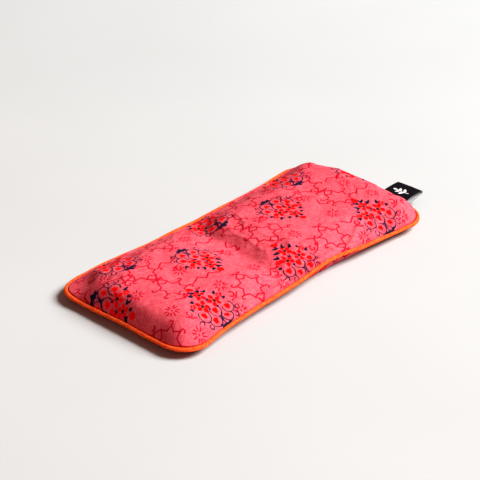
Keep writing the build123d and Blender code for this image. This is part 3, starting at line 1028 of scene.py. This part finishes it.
# by the name of the slot each one fills
MATERIALS = {
    "printed_cotton": print_material("printed_cotton"),
    "piping_cloth": cloth_material(
        "piping_cloth", dark=srgb(208, 62, 26), base=srgb(235, 104, 52),
        light=srgb(250, 146, 92), pitch=0.40, diagonal=True, sheen=0.08, rough=0.72,
        noise_scale=0.7, thread_bump=0.00006),
    "muslin": cloth_material(
        "muslin", dark=srgb(206, 196, 170), base=srgb(232, 224, 202),
        light=srgb(244, 240, 224), pitch=0.5, diagonal=False, sheen=0.1, rough=0.78,
        noise_scale=0.5, thread_bump=0.0001),
    "white_cord": twist_material("white_cord", dark=srgb(196, 188, 170),
                                 light=srgb(240, 236, 224), twist=2.2),
    "red_thread": twist_material("red_thread", dark=srgb(150, 20, 22),
                                 light=srgb(226, 60, 50), twist=9.0),
    "white_thread": twist_material("white_thread", dark=srgb(190, 186, 176),
                                   light=srgb(246, 244, 238), twist=9.0),
    "flaxseed": seed_material("flaxseed"),
    "lavender": bud_material("lavender"),
    "black_tape": label_material("black_tape"),
}


def dress(ob, slot, node):
    """give a piece its material and hide the CAD part it stands for"""
    ob.data.materials.append(MATERIALS[slot])
    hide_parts(node)


def finish_piece(ob, slot, node):
    """dress a piece and bake its transform into the mesh"""
    dress(ob, slot, node)
    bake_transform(ob)


# ---------------------------------------------------------------- cloth settling
# The cover, cut a little large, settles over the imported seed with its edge
# held in the seam; what is kept is its height above the smooth crown.
SIM_SCALE = 20.0                          # run large, where the solver is well behaved
SIM_GRID = (150, 72)
SIM_FRAMES = 34


def resample(grid, nu, nv):
    """resample a coarse (n, m, k) grid smoothly to nu x nv"""
    def along_first(grid, n):
        m = grid.shape[0]
        f = np.clip(np.linspace(0, m - 1, n), 0, m - 1.0001)
        i = np.floor(f).astype(int)
        t = (f - i).reshape((-1,) + (1,) * (grid.ndim - 1))
        return sum(grid[np.clip(i + k, 0, m - 1)] * w
                   for k, w in zip((-1, 0, 1, 2), catmull_weights(t)))
    return along_first(along_first(grid, nu).swapaxes(0, 1), nv).swapaxes(0, 1)


def sim_sheet(name, x, y, z):
    return make_mesh(name, np.c_[x.ravel(), y.ravel(), z.ravel()] * SIM_SCALE,
                     grid_quads(*x.shape))


def sim_heap():
    """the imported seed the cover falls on"""
    x, y = coons(-1.0, 130, 62)
    d = inset(x, y)
    z = top_height(x, y) - 0.75 - 1.0 * bell(x - valley_centre(y), 9.0) * smooth(d / 12.0)
    z += (0.38 * noise2(x, y, 12.0, 33) + 0.16 * noise2(x, y, 6.0, 34)) * smooth((d - 3) / 6.0)
    ob = sim_sheet("sim_heap", x, y, z)
    return ob


def cloth_groups(cloth, x, y, d):
    """pin the edge; cut the cloth loosest over the valley and near the seam"""
    pin = cloth.vertex_groups.new(name="pin")
    pin.add(border_loop(*SIM_GRID).tolist(), 1.0, "ADD")
    loose = cloth.vertex_groups.new(name="loose")
    slack = 0.25 + 0.75 * bell(x - valley_centre(y), 20.0)
    slack = np.clip(slack + 0.15 * bell(d - 6, 6.0), 0, 1)
    level = np.round(slack * 20).astype(int)
    for k in range(21):
        ids = np.nonzero(level == k)[0]
        if len(ids):
            loose.add(ids.tolist(), k / 20.0, "ADD")


def cloth_physics(cloth):
    mod = cloth.modifiers.new("cloth", "CLOTH")
    settings = {
        "quality": 5, "mass": 0.25,
        "tension_stiffness": 40, "compression_stiffness": 40,
        "shear_stiffness": 18, "bending_stiffness": 0.55,
        "tension_damping": 12, "compression_damping": 12, "shear_damping": 12,
        "bending_damping": 1.0, "air_damping": 4.0,
        "vertex_group_mass": "pin", "vertex_group_shrink": "loose",
        # negative shrink: the cloth grows
        "shrink_min": -0.022, "shrink_max": -0.075}
    for key, value in settings.items():
        setattr(mod.settings, key, value)
    mod.collision_settings.distance_min = 0.004
    mod.collision_settings.collision_quality = 2
    mod.collision_settings.use_self_collision = False
    mod.point_cache.frame_start, mod.point_cache.frame_end = 1, SIM_FRAMES


def settled_heights(points):
    """heights of the settled points above the crown, spread onto the grid"""
    P = resample(points.reshape(*SIM_GRID, 3), 640, 310).reshape(-1, 3)
    dz = P[:, 2] - top_height(P[:, 0], P[:, 1])
    gx = np.clip((P[:, 0] - GRID_X[0]) / GRID_STEP, 0, len(GRID_X) - 1.001)
    gy = np.clip((P[:, 1] - GRID_Y[0]) / GRID_STEP, 0, len(GRID_Y) - 1.001)
    ix, iy = np.floor(gx).astype(int), np.floor(gy).astype(int)
    tx, ty = gx - ix, gy - iy
    total, weight = np.zeros(PLAN_X.shape), np.zeros(PLAN_X.shape)
    for a in (0, 1):
        for b in (0, 1):
            w = (tx if a else 1 - tx) * (ty if b else 1 - ty)
            np.add.at(total, (ix + a, iy + b), w * dz)
            np.add.at(weight, (ix + a, iy + b), w)
    total, weight = blur(total, 1.1), blur(weight, 1.1)
    return np.where(weight > 1e-4, total / np.maximum(weight, 1e-4), 0.0)


def settle_cover():
    x, y = coons(1.25, *SIM_GRID)
    d = inset(x, y)
    z = top_height(x, y) + 0.25 * noise2(x, y, 8.0, 31) * smooth((d - 2) / 6.0)
    cloth = sim_sheet("sim_cloth", x, y, z)
    heap_ob = sim_heap()
    cloth_groups(cloth, x.ravel(), y.ravel(), d.ravel())
    heap_ob.modifiers.new("collide", "COLLISION")
    heap_ob.collision.thickness_outer = 0.004
    heap_ob.collision.cloth_friction = 12.0
    cloth_physics(cloth)
    scene = bpy.context.scene
    first = scene.frame_current
    for frame in range(1, SIM_FRAMES + 1):
        scene.frame_set(frame)
    settled = cloth.evaluated_get(bpy.context.evaluated_depsgraph_get())
    points = verts_mm(settled.to_mesh()) / SIM_SCALE
    settled.to_mesh_clear()
    scene.frame_set(first)
    bpy.data.objects.remove(cloth, do_unlink=True)
    bpy.data.objects.remove(heap_ob, do_unlink=True)
    heights = np.clip(np.nan_to_num(settled_heights(points)), -3.0, 2.5)
    # beside the plain end the cloth is drawn smooth over the seed
    keep = smooth((PLAN_X + 98.0) / 22.0)
    return heights * keep + 0.45 * blur(heights, 6.0) * (1 - keep)


COVER = settle_cover()

# ---------------------------------------------------------------- folds
# x, y, angle (radians), length, width, height (negative is a dent)
DENTS = (
    (2.0, -22.0, 1.15, 9.0, 3.0, -0.75), (7.5, -26.0, 1.15, 9.0, 3.2, 0.45),
    (-3.0, 33.0, 0.5, 8.0, 2.8, -0.7), (6.0, 26.0, 0.5, 9.0, 3.4, 0.5),
    (24.0, 36.0, 0.3, 9.0, 3.0, -0.45), (-52.0, 22.0, 0.9, 9.0, 3.6, -0.35),
    (-97.0, 27.0, -0.5, 9.0, 4.2, -1.3), (-88.0, 14.0, 0.6, 10.0, 4.0, 0.5),
    (58.0, -8.0, 0.8, 14.0, 5.0, -0.35), (88.0, 18.0, 1.2, 12.0, 5.0, -0.4),
    (-46.0, -24.0, 0.2, 11.0, 4.0, -0.35))
# seed lumps: height, size, seed, depth over which they fade in
LUMPS = ((0.30, 13.0, 21, 8.0), (0.17, 6.5, 22, 6.0), (0.07, 3.6, 24, 6.0), (0.035, 2.2, 23, 5.0))


def puckers(x, y):
    """short gathers running in from the piping"""
    d = inset(x, y)
    s = seam_param(x, y)
    gathers = noise1(s, 118, 40) * 0.7 + noise1(s, 61, 41) * 0.5
    gate = 0.45 + 0.55 * smooth(0.5 + noise1(s, 17, 42) * 0.8)
    reach = 3.6 + 2.2 * (0.5 + 0.5 * np.tanh(noise1(s, 31, 43)))
    return (0.34 * gathers * gate * bell(d - 3.2, reach)
            * smooth((d - PANEL_EDGE) / 1.4))


def wrinkles(x, y):
    """soft folds of the loosely filled cover"""
    d = inset(x, y)
    w = puckers(x, y)
    # the crease that crosses the middle: a groove and the ridge beside it
    g = x - valley_centre(y) - 1.5 * np.sin((y + 4) / 9.0)
    w += -0.50 * bell(g - 1.5, 3.6) * smooth((d - 4) / 8.0)
    w += 0.40 * bell(g - 10.0, 4.5) * smooth((d - 4) / 8.0)
    for dent_x, dent_y, angle, length, width, height in DENTS:
        c, s = math.cos(angle), math.sin(angle)
        along = (x - dent_x) * c + (y - dent_y) * s
        across = -(x - dent_x) * s + (y - dent_y) * c
        w += height * bell(along, length, across, width) * smooth((d - 2.5) / 5.0)
    # short sharp groove on the -Y plain half, with its ridge
    g = (x + 29.0) * 0.94 + (y + 20.0) * 0.34
    w += -0.6 * bell(g, 2.0, y + 20, 9.0)
    w += 0.4 * bell(g + 4.0, 2.8, y + 20, 10.0)
    for height, size, seed, fade in LUMPS:
        w += height * noise2(x, y, size, seed) * smooth((d - 2) / fade)
    return w + sample(COVER, x, y)


def cover_z(x, y):
    """outer face of the top panel"""
    return top_height(x, y) + wrinkles(x, y) * smooth((inset(x, y) - PANEL_EDGE) / 2.0)


def slack_table(px, py, qx, qy):
    """cloth length beyond the plan distance on the way from p out to q, by inset"""
    t = np.linspace(0, 1, 200)
    x, y = px + (qx - px) * t, py + (qy - py) * t
    z = top_height(x, y)
    d = inset(x, y)
    extra = np.hypot(np.diff(d), np.diff(z)) - np.abs(np.diff(d))
    extra = np.r_[0, np.cumsum(extra)]
    order = np.argsort(d)
    return d[order], extra[order]


SLACK_PLAIN = slack_table(-HALF_L + 20, 4, -HALF_L + PANEL_EDGE, 4)
SLACK_LABEL = slack_table(HALF_L - 20, 8, HALF_L - PANEL_EDGE, 8)
SLACK_SIDE = slack_table(50, HALF_W - 22, 50, HALF_W - 1.6)


def cloth_xy(x, y):
    """plan position to position on the flat cloth"""
    d = inset(x, y)
    ends = end_share(x, y, 5.0)
    end_slack = np.where(x < 0, np.interp(d, *SLACK_PLAIN), np.interp(d, *SLACK_LABEL))
    slack = end_slack * ends + np.interp(d, *SLACK_SIDE) * (1 - ends)
    h = 0.5
    out_x = -(inset(x + h, y) - inset(x - h, y)) / (2 * h)
    out_y = -(inset(x, y + h) - inset(x, y - h)) / (2 * h)
    return np.c_[x + out_x * slack, y + out_y * slack]


# ---------------------------------------------------------------- cover panels
def top_panel():
    x, y = coons(1.25, *(((400, 194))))
    # inset, height above the seam: in along the seam, round the raw edge and back
    turn_in = ((1.30, 0.42), (1.9, 0.40), (ALLOWANCE_MID, 0.40), (ALLOWANCE, 0.40),
               (ALLOWANCE + 0.1, 0.60), (ALLOWANCE, 0.78), (ALLOWANCE_MID, 0.78), (2.2, 0.80))
    verts, quads, tris = shell(x, y, cover_z(x, y), lambda x, y: cover_z(x, y) - 0.48,
                               (140, 66), 2.1, [(d, SEAM_Z + h) for d, h in turn_in],
                               lift=label_lift)
    flat = cloth_xy(verts[:, 0], verts[:, 1])
    ob = make_mesh("cover_top_panel", warp(verts), quads, tris)
    add_uv(ob, flat)
    add_print(ob, flat[:, 0], flat[:, 1])
    finish_piece(ob, "printed_cotton", "top_panel")


def bottom_panel(name, node, x_cut, keep_low, lift, rim_z, edge, print_shift):
    """one of the two overlapping back panels, cut across at x_cut"""
    x, y = coons(edge, 300, 146)
    z = np.minimum(bottom_height(x, y) + lift(x, y), rim_z - 0.05)
    off_table = smooth((0.02 + z) / 2.0)
    z = z + 0.22 * noise2(x, y, 7.0, 61) * off_table * smooth((inset(x, y) - edge) / 2)
    # inset, height above the rim
    turn_in = ((edge + 0.05, 0.36), (edge + 0.6, 0.38), (ALLOWANCE_MID, 0.38),
               (ALLOWANCE, 0.38), (ALLOWANCE, 0.04), (ALLOWANCE_MID, 0.04), (edge + 0.7, 0.03))
    parts = shell(x, y, z,
                  lambda x, y: np.minimum(bottom_height(x, y) + lift(x, y) + 0.42, rim_z - 0.02),
                  (120, 58), edge + 0.8, [(d, rim_z + h) for d, h in turn_in], up=False)
    ob, flat = cut_piece(name, parts, x_cut, keep_low)
    add_uv(ob, flat[:, :2])
    add_print(ob, flat[:, 0], -flat[:, 1], print_shift)
    finish_piece(ob, "printed_cotton", node)


top_panel()
bottom_panel("cover_back_long", "bottom_panel_long", LAP_START_X, keep_low=False, lift=no_lift,
             rim_z=SEAM_Z - 0.78, edge=1.25, print_shift=(12.0, 9.0))
bottom_panel("cover_back_short", "bottom_panel_short", LAP_END_X, keep_low=True, lift=lap_lift,
             rim_z=SEAM_Z - 1.22, edge=2.3, print_shift=(-9.0, 21.0))

# ---------------------------------------------------------------- piping
RINGS = 1500
RING_P, RING_OUT, _ = outline(RINGS)
RING_S = np.arange(RINGS) / RINGS         # 0..1 round the seam
BORE_R = PIPE_R - 0.30
BORE_SIDES = 16
TUBE_POINTS = 25
CORD_SIDES = 24
CORD_LAY = 5.5                            # length of one twist


def section_ring(out, up):
    """profile (outward, up) carried round the seam; may vary from ring to ring"""
    plan = RING_P[:, None] + RING_OUT[:, None] * out[..., None]
    return np.dstack([plan, np.broadcast_to(SEAM_Z + up, plan.shape[:2])])


def piping():
    angles = np.radians(np.linspace(166, -166, TUBE_POINTS))
    profile = np.array([(PIPE_R * math.cos(t), PIPE_R * math.sin(t)) for t in angles]
                       # the flange that lies in the seam
                       + [(-2.3, -0.33), (-4.8, -0.33), (-7.4, -0.33),
                          (-7.5, 0.0), (-7.4, 0.33), (-4.8, 0.33), (-2.3, 0.33)])
    # the tube swells and pinches a little round the loop
    swell = np.ones((RINGS, len(profile)))
    for j in range(TUBE_POINTS):
        t = j / TUBE_POINTS
        swell[:, j] += (0.020 * noise1(RING_S, 210, 71)
                        + 0.022 * noise1(RING_S + 0.013 * t, 90, 72)
                        + 0.012 * noise1(RING_S + 0.05 * t, 420, 73) - 0.02)
    skin = section_ring(profile[:, 0] * swell, profile[:, 1] * swell)
    t = np.linspace(0, 2 * math.pi, BORE_SIDES, endpoint=False)
    bore = section_ring(BORE_R * np.cos(t), BORE_R * np.sin(t))
    verts, quads = sweep_loop([(skin, False), (bore, True)])
    ob = make_mesh("cover_piping", warp(verts), quads)
    s = RING_S * SEAM_LENGTH
    along = np.r_[np.repeat(s, len(profile)), np.repeat(s, BORE_SIDES)]
    # run back from half way, so the pattern has no smeared strip at the loop's end
    along = np.where(along > SEAM_LENGTH / 2, SEAM_LENGTH - along, along)
    around = np.r_[0, np.cumsum(np.hypot(*np.diff(profile, axis=0).T))]
    around = np.r_[np.tile(around, RINGS), np.tile(np.linspace(0, 6.9, BORE_SIDES), RINGS)]
    add_uv(ob, np.c_[along, around])
    finish_piece(ob, "piping_cloth", "piping_cover")


def cord():
    """three-strand twist inside the piping"""
    t = 2 * math.pi * np.arange(CORD_SIDES) / CORD_SIDES
    twist = 2 * math.pi * RING_S[:, None] * round(SEAM_LENGTH / CORD_LAY)
    r = (BORE_R - 0.13) + 0.08 * np.abs(np.cos(1.5 * (t + twist)))
    verts, quads = sweep_loop([(section_ring(r * np.cos(t), r * np.sin(t)), False)])
    ob = make_mesh("piping_cord_core", warp(verts), quads)
    there_and_back = np.where(RING_S > 0.5, 1 - RING_S, RING_S)
    add_uv(ob, np.c_[there_and_back.repeat(CORD_SIDES) * SEAM_LENGTH,
                     np.tile(np.abs(np.linspace(-1, 1, CORD_SIDES)), RINGS)])
    finish_piece(ob, "white_cord", "piping_cord")


piping()
cord()


# ---------------------------------------------------------------- stitches
def stitches(name, runs, length, radius, slot, node):
    """lockstitch bars, each dipping into the cloth at its ends; runs are
    (points, directions, ups)"""
    rings, sides = 7, 6
    points, along, ups = (np.concatenate(parts) for parts in zip(*runs))
    step = np.linspace(-0.5, 0.5, rings)
    dip = (np.abs(step) * 2) ** 3 * radius * 1.1
    thickness = np.full(rings, radius)
    thickness[[0, -1]] *= 0.55
    turn = 2 * math.pi * np.arange(sides) / sides
    spine = (points[:, None] + along[:, None] * (step * length)[:, None]
             - ups[:, None] * dip[:, None])
    across = np.cross(ups, along)
    ring = across[:, None] * np.cos(turn)[:, None] + ups[:, None] * np.sin(turn)[:, None]
    verts = spine[:, :, None] + ring[:, None] * thickness[:, None, None]
    n = len(points)
    ob = make_mesh(name, warp(verts.reshape(-1, 3)), *capped_tubes(n, rings, sides))
    add_uv(ob, np.c_[np.tile(np.repeat(step * length, sides), n),
                     np.tile(np.arange(sides) / sides, n * rings)])
    finish_piece(ob, slot, node)


def seam_run(d, height, pitch, up=1.0, lift=no_lift):
    """stitches all round the seam at inset d"""
    loop, out, _ = outline(int(SEAM_LENGTH / pitch))
    plan = loop - out * d
    return (np.c_[plan, height + lift(plan[:, 0], plan[:, 1])],
            np.c_[-out[:, 1], out[:, 0], np.zeros(len(out))],
            np.tile([0, 0, up], (len(plan), 1)))


def hem_run(x, height):
    """stitches straight across the back along Y"""
    y = np.arange(-37, 37.1, 2.4)
    n = len(y)
    return (np.c_[np.full(n, x), y, np.full(n, height)],
            np.tile([0, 1.0, 0], (n, 1)), np.tile([0, 0, 1.0], (n, 1)))


stitches("cover_seam_stitching",
         [seam_run(3.0, SEAM_Z + 0.92, 2.5, lift=label_lift),
          seam_run(3.4, SEAM_Z - 1.40, 2.5, up=-1.0)],
         length=2.1, radius=0.11, slot="red_thread", node="cover_seam_thread")
stitches("hem_stitching",
         [hem_run(LAP_START_X + 6.0, 0.42 + 0.13), hem_run(LAP_END_X - 6.0, LAP + 0.42 + 0.14)],
         length=2.0, radius=0.10, slot="red_thread", node="hem_thread")

# ---------------------------------------------------------------- inner pouch
_cover = cover_z(PLAN_X, PLAN_Y)
POUCH = np.minimum(blur(_cover, 1.0), _cover)
POUCH = np.minimum(blur(POUCH, 0.8), POUCH)
POUCH_FLOOR = 1.62


def pouch_top(x, y):
    t = 1 - np.exp(-np.maximum(inset(x, y) - POUCH_EDGE, 0) / 0.9)
    return SEAM_Z + 0.36 + (sample(POUCH, x, y) - 0.98 - SEAM_Z - 0.36) * t


def pouch_bottom(x, y):
    t = np.clip((inset(x, y) - POUCH_EDGE) / 6.0, 0, 1)
    return POUCH_FLOOR + (SEAM_Z - 0.36 - POUCH_FLOOR) * (1 - t) ** 2.4


def pouch_piece(name, height, up, node):
    side = 1 if up else -1
    x, y = coons(POUCH_EDGE, 220, 100)
    ruck = np.abs(0.10 * noise2(x, y, 7.0, 81) + 0.05 * noise2(x, y, 3.0, 82))
    ruck = ruck * smooth((inset(x, y) - POUCH_EDGE) / 3.0)
    # beyond the pouch edge, distance from the seam plane
    turn_in = ((0.06, 0.06), (2.0, 0.05), (4.0, 0.05), (4.0, 0.34), (2.0, 0.34), (0.8, 0.36))
    verts, quads, tris = shell(x, y, height(x, y) - ruck * side,
                               lambda x, y: height(x, y) - side * 0.64,
                               (130, 60), POUCH_EDGE + 1.0,
                               [(POUCH_EDGE + d, SEAM_Z + side * h) for d, h in turn_in], up=up)
    ob = make_mesh(name, warp(verts), quads, tris)
    add_uv(ob, verts[:, :2])
    finish_piece(ob, "muslin", node)


pouch_piece("pouch_top_cloth", pouch_top, True, "inner_pouch_top")
pouch_piece("pouch_bottom_cloth", pouch_bottom, False, "inner_pouch_bottom")
stitches("pouch_stitching",
         [seam_run(POUCH_EDGE + 1.8, SEAM_Z + 0.46, 3.0),
          seam_run(POUCH_EDGE + 1.8, SEAM_Z - 0.46, 3.0, up=-1.0)],
         length=2.5, radius=0.10, slot="white_thread", node="pouch_seam_thread")


# ---------------------------------------------------------------- filling
def heap_under(x, y):
    return np.minimum(pouch_bottom(x, y) + 1.05 + 0.12 * noise2(x, y, 3.0, 93), SEAM_Z - 0.85)


def heap(name, low, node):
    """seed in one half of the pouch; low is the -X half"""
    x, y = coons(HEAP_EDGE, *(((300, 140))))
    grain = 0.16 * noise2(x, y, 1.9, 91) + 0.14 * noise2(x, y, 3.6, 92)
    z = pouch_top(x, y) - 1.05 - np.abs(grain) * smooth((inset(x, y) - HEAP_EDGE) / 1.5)
    turn_in = ((0.3, 0.70), (3.4, 0.62), (3.4, -0.62), (0.3, -0.70))
    parts = shell(x, y, np.maximum(z, SEAM_Z + 0.85), heap_under, (200, 92), HEAP_EDGE,
                  [(HEAP_EDGE + d, SEAM_Z + h) for d, h in turn_in])
    ob, flat = cut_piece(name, parts, FOLD_X + (-0.5 if low else 0.5), low)
    add_uv(ob, flat[:, :2] + flat[:, 2:3] * 0.6)
    finish_piece(ob, "flaxseed", node)


heap("seed_heap_plain_end", True, "flaxseed_fill_plain_end")
heap("seed_heap_label_end", False, "flaxseed_fill_label_end")

# lavender buds: distance from mid length, y, z, angle in degrees
BUDS = ((22, -22, 9.0, 20), (30, 14, 6.5, 75), (38, -6, 10.5, 130), (47, 24, 8.5, 10),
        (52, -27, 7.5, 60), (58, 3, 6.0, 100), (64, -14, 10.0, 35), (71, 20, 9.5, 150),
        (77, -30, 8.0, 95), (82, 6, 8.0, 55), (86, -12, 6.5, 165), (45, -16, 6.0, 140))
BUD_LENGTH = 4.6


def buds(name, end, node):
    """ribbed little ovals in the seed; end is -1 or 1 along X"""
    rings, sides = 14, 16
    t, turn = np.meshgrid(np.arange(rings) / (rings - 1), np.arange(sides) / sides,
                          indexing="ij")
    t, turn = t.ravel(), turn.ravel()
    phase = 2 * math.pi * turn
    r = np.sin(math.pi * (0.04 + 0.90 * t)) ** 0.7 * (1.0 - 0.25 * t)
    r = r * (1 + 0.10 * np.cos(8 * phase))
    along, across = (t - 0.5) * BUD_LENGTH, r * np.cos(phase)
    verts = []
    for x, y, z, degrees in BUDS:
        c, s = math.cos(math.radians(degrees)), math.sin(math.radians(degrees))
        verts.append(np.c_[end * x + c * along - s * across, y + s * along + c * across,
                           z + r * np.sin(phase)])
    ob = make_mesh(name, warp(np.vstack(verts)), *capped_tubes(len(BUDS), rings, sides))
    add_uv(ob, np.tile(np.c_[t * BUD_LENGTH, turn], (len(BUDS), 1)))
    finish_piece(ob, "lavender", node)


buds("lavender_plain_end", -1, "lavender_buds_plain_end")
buds("lavender_label_end", 1, "lavender_buds_label_end")

# ---------------------------------------------------------------- woven label
label_lo, label_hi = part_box("woven_label")
LABEL_TIP = label_hi.x * 1000
LABEL_Y = (label_lo.y + label_hi.y) * 500
LABEL_HALF_T = 0.16
# x, height above the seam: out along the lower leaf, round the tip, back on top
LABEL_PATH = (
    (HALF_L - 6.4, 0.56), (HALF_L - 4.0, 0.56), (HALF_L - 2.3, 0.60), (HALF_L - 1.1, 1.20),
    (HALF_L + 0.2, 1.72), (HALF_L + 2.0, 1.62), (HALF_L + 6.0, 1.20), (HALF_L + 11.0, 0.95),
    (LABEL_TIP - 3.0, 0.85), (LABEL_TIP - 0.9, 1.00), (LABEL_TIP - 0.35, 1.75),
    (LABEL_TIP - 0.9, 2.55), (LABEL_TIP - 3.0, 2.75),
    (HALF_L + 11.0, 2.85), (HALF_L + 6.0, 2.65), (HALF_L + 2.0, 2.25), (HALF_L + 0.2, 2.10),
    (HALF_L - 1.1, 1.60), (HALF_L - 2.3, 1.00), (HALF_L - 4.0, 0.96), (HALF_L - 6.4, 0.96))
SPRIG_STEM = ((0, -5.2), (0.3, -1.5), (0.0, 2.2), (0.1, 5.0))
# base, tip, width
SPRIG_LEAVES = (((0.1, -2.6), (-3.4, -0.4), 0.95), ((0.1, -2.2), (3.4, 0.2), 0.95),
                ((0.1, 0.4), (-2.7, 2.8), 0.85), ((0.1, 0.8), (2.7, 3.2), 0.85),
                ((0.05, 3.0), (0.1, 6.2), 0.85))


def catmull(points, step):
    """smooth curve through points"""
    P = np.array(points, float)
    P = np.vstack([2 * P[0] - P[1], P, 2 * P[-1] - P[-2]])
    out = []
    for i in range(1, len(P) - 2):
        n = max(2, int(np.hypot(*(P[i + 1] - P[i])) / step))
        for t in np.linspace(0, 1, n, endpoint=False):
            out.append(sum(w * p for w, p in zip(catmull_weights(t), P[i - 1:i + 3])))
    out.append(P[-2])
    return np.array(out)


def woven_label():
    line = catmull(np.array(LABEL_PATH) + [0, SEAM_Z], 0.28)
    tangent = np.gradient(line, axis=0)
    tangent /= np.hypot(tangent[:, 0], tangent[:, 1])[:, None]
    inward = np.c_[-tangent[:, 1], tangent[:, 0]]         # towards the inside of the loop
    arc = np.r_[0, np.cumsum(np.hypot(*np.diff(line, axis=0).T))]
    profile = np.vstack([line + inward * LABEL_HALF_T, (line - inward * LABEL_HALF_T)[::-1]])
    outer_face = np.r_[np.zeros(len(line)), np.ones(len(line))]
    arc_both = np.r_[arc, arc[::-1]]
    rows, m = 66, len(profile)
    across = np.linspace(-LABEL_W / 2, LABEL_W / 2, rows)

    # the free part curls a little and its lower leaf skews towards -Y
    px, pz = profile.T
    v = across[:, None]
    out = np.clip((px - HALF_L - 1.5) / (LABEL_TIP - HALF_L - 1.5), 0, 1)
    low = smooth((1 - np.minimum(arc_both / (0.5 * arc[-1]), 1.0)) / 0.9)
    low = low * smooth((px - HALF_L) / 3.0)
    y = LABEL_Y + v * (1 - 0.010 * out) + 0.25 * out * out - 3.0 * low
    z = pz + out * out * (0.30 * np.cos(v / 5.2) - 0.022 * v)
    z = z + (smooth(out * 2.2) * smooth(2.2 - out * 2.2) * (0.32 * smooth(-v / 9.0))
             * np.where(low > 0, 0, 1))
    verts = np.c_[np.tile(px, rows), y.ravel(), z.ravel()]

    a = np.arange(m)
    b = (a + 1) % m
    strip = np.c_[a + m, b + m, b, a]
    i = np.arange(len(line) - 1)
    cap = np.c_[i, i + 1, m - 2 - i, m - 1 - i]
    quads = [strip + k * m for k in range(rows - 1)] + [cap, (cap + (rows - 1) * m)[:, ::-1]]
    ob = make_mesh("woven_end_label", warp(verts), np.vstack(quads))
    flat = np.c_[np.tile(arc_both, rows), np.repeat(across, m)]
    add_uv(ob, flat)
    add_attr(ob, "inside", np.tile(1 - outer_face, rows))

    # sprig in white thread on the upper face, drawn in label millimetres
    P = flat - [arc[-1] - 16.4, 0]
    sprig = path_d(P, SPRIG_STEM) - 0.30
    for base, tip, width in SPRIG_LEAVES:
        sprig = np.minimum(sprig, leaf_d(P, base, tip, width))
    sprig = np.where(np.tile(outer_face, rows) > 0.5, sprig, NO_INK)
    add_attr(ob, "sprig", np.clip(sprig, -2, 2))
    dress(ob, "black_tape", "woven_label")
    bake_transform(ob)


woven_label()


# ---------------------------------------------------------------- stage (metres)
def make_floor():
    half, z = 3.0, -0.0001
    mesh = bpy.data.meshes.new("floor")
    mesh.from_pydata([(-half, -half, z), (half, -half, z), (half, half, z), (-half, half, z)],
                     [], [(0, 1, 2, 3)])
    floor = bpy.data.objects.new("floor", mesh)
    bpy.context.scene.collection.objects.link(floor)
    mesh.materials.append(floor_material("floor"))


def make_world():
    """warm ambient light; the camera sees a backdrop rising out of the floor's tone"""
    world = bpy.data.worlds.new("studio")
    bpy.context.scene.world = world
    world.use_nodes = True
    nodes, link = world.node_tree.nodes, world.node_tree.links.new
    ambient = nodes["Background"]
    ambient.inputs["Color"].default_value = (1.0, 0.66, 0.57, 1)
    ambient.inputs["Strength"].default_value = 0.165
    backdrop = nodes.new("ShaderNodeBackground")
    backdrop.inputs["Strength"].default_value = 1.0
    coords = nodes.new("ShaderNodeTexCoord")
    split = nodes.new("ShaderNodeSeparateXYZ")
    sweep = nodes.new("ShaderNodeValToRGB")
    sweep.color_ramp.interpolation = "EASE"
    stops = ((0.0, (0.44, 0.432, 0.415, 1)), (0.22, (0.60, 0.59, 0.565, 1)))
    for element, (position, colour) in zip(sweep.color_ramp.elements, stops):
        element.position, element.color = position, colour
    link(coords.outputs["Generated"], split.inputs[0])
    link(split.outputs[2], sweep.inputs[0])
    link(sweep.outputs[0], backdrop.inputs[0])
    rays = nodes.new("ShaderNodeLightPath")
    mix = nodes.new("ShaderNodeMixShader")
    link(rays.outputs["Is Camera Ray"], mix.inputs[0])
    link(ambient.outputs[0], mix.inputs[1])
    link(backdrop.outputs[0], mix.inputs[2])
    link(mix.outputs[0], nodes["World Output"].inputs[0])


def place(name, data, location):
    """put a light or camera at location, facing the origin"""
    ob = bpy.data.objects.new(name, data)
    ob.location = location
    ob.rotation_mode = "QUATERNION"
    ob.rotation_quaternion = (-Vector(location)).to_track_quat("-Z", "Y")
    bpy.context.scene.collection.objects.link(ob)
    return ob


def area(name, location, size, power, colour):
    light = bpy.data.lights.new(name, "AREA")
    light.shape = "DISK"
    light.size = size
    light.energy = power
    light.color = colour
    place(name, light, location)


def make_camera():
    azimuth, elevation = math.radians(-47.73), math.radians(29.39)
    distance = 0.938
    back = Vector((math.sin(azimuth) * math.cos(elevation),
                   -math.cos(azimuth) * math.cos(elevation), math.sin(elevation)))
    data = bpy.data.cameras.new("camera")
    data.sensor_width = 36.0              # sensor and lens in millimetres
    data.lens = 119.625
    data.shift_x = -0.02083333
    data.shift_y = 0.03875
    data.clip_start, data.clip_end = 0.01, 20
    bpy.context.scene.camera = place("camera", data, back * distance)


make_floor()
make_world()
area("key", (2.26, -2.00, 2.76), size=2.4, power=280.0, colour=(0.985, 0.99, 1.0))
area("fill", (-1.3, -0.62, 0.85), size=1.0, power=3.2, colour=(1.0, 0.34, 0.27))
make_camera()
bpy.context.scene.view_settings.view_transform = "Standard"
bpy.context.scene.view_settings.look = "High Contrast"
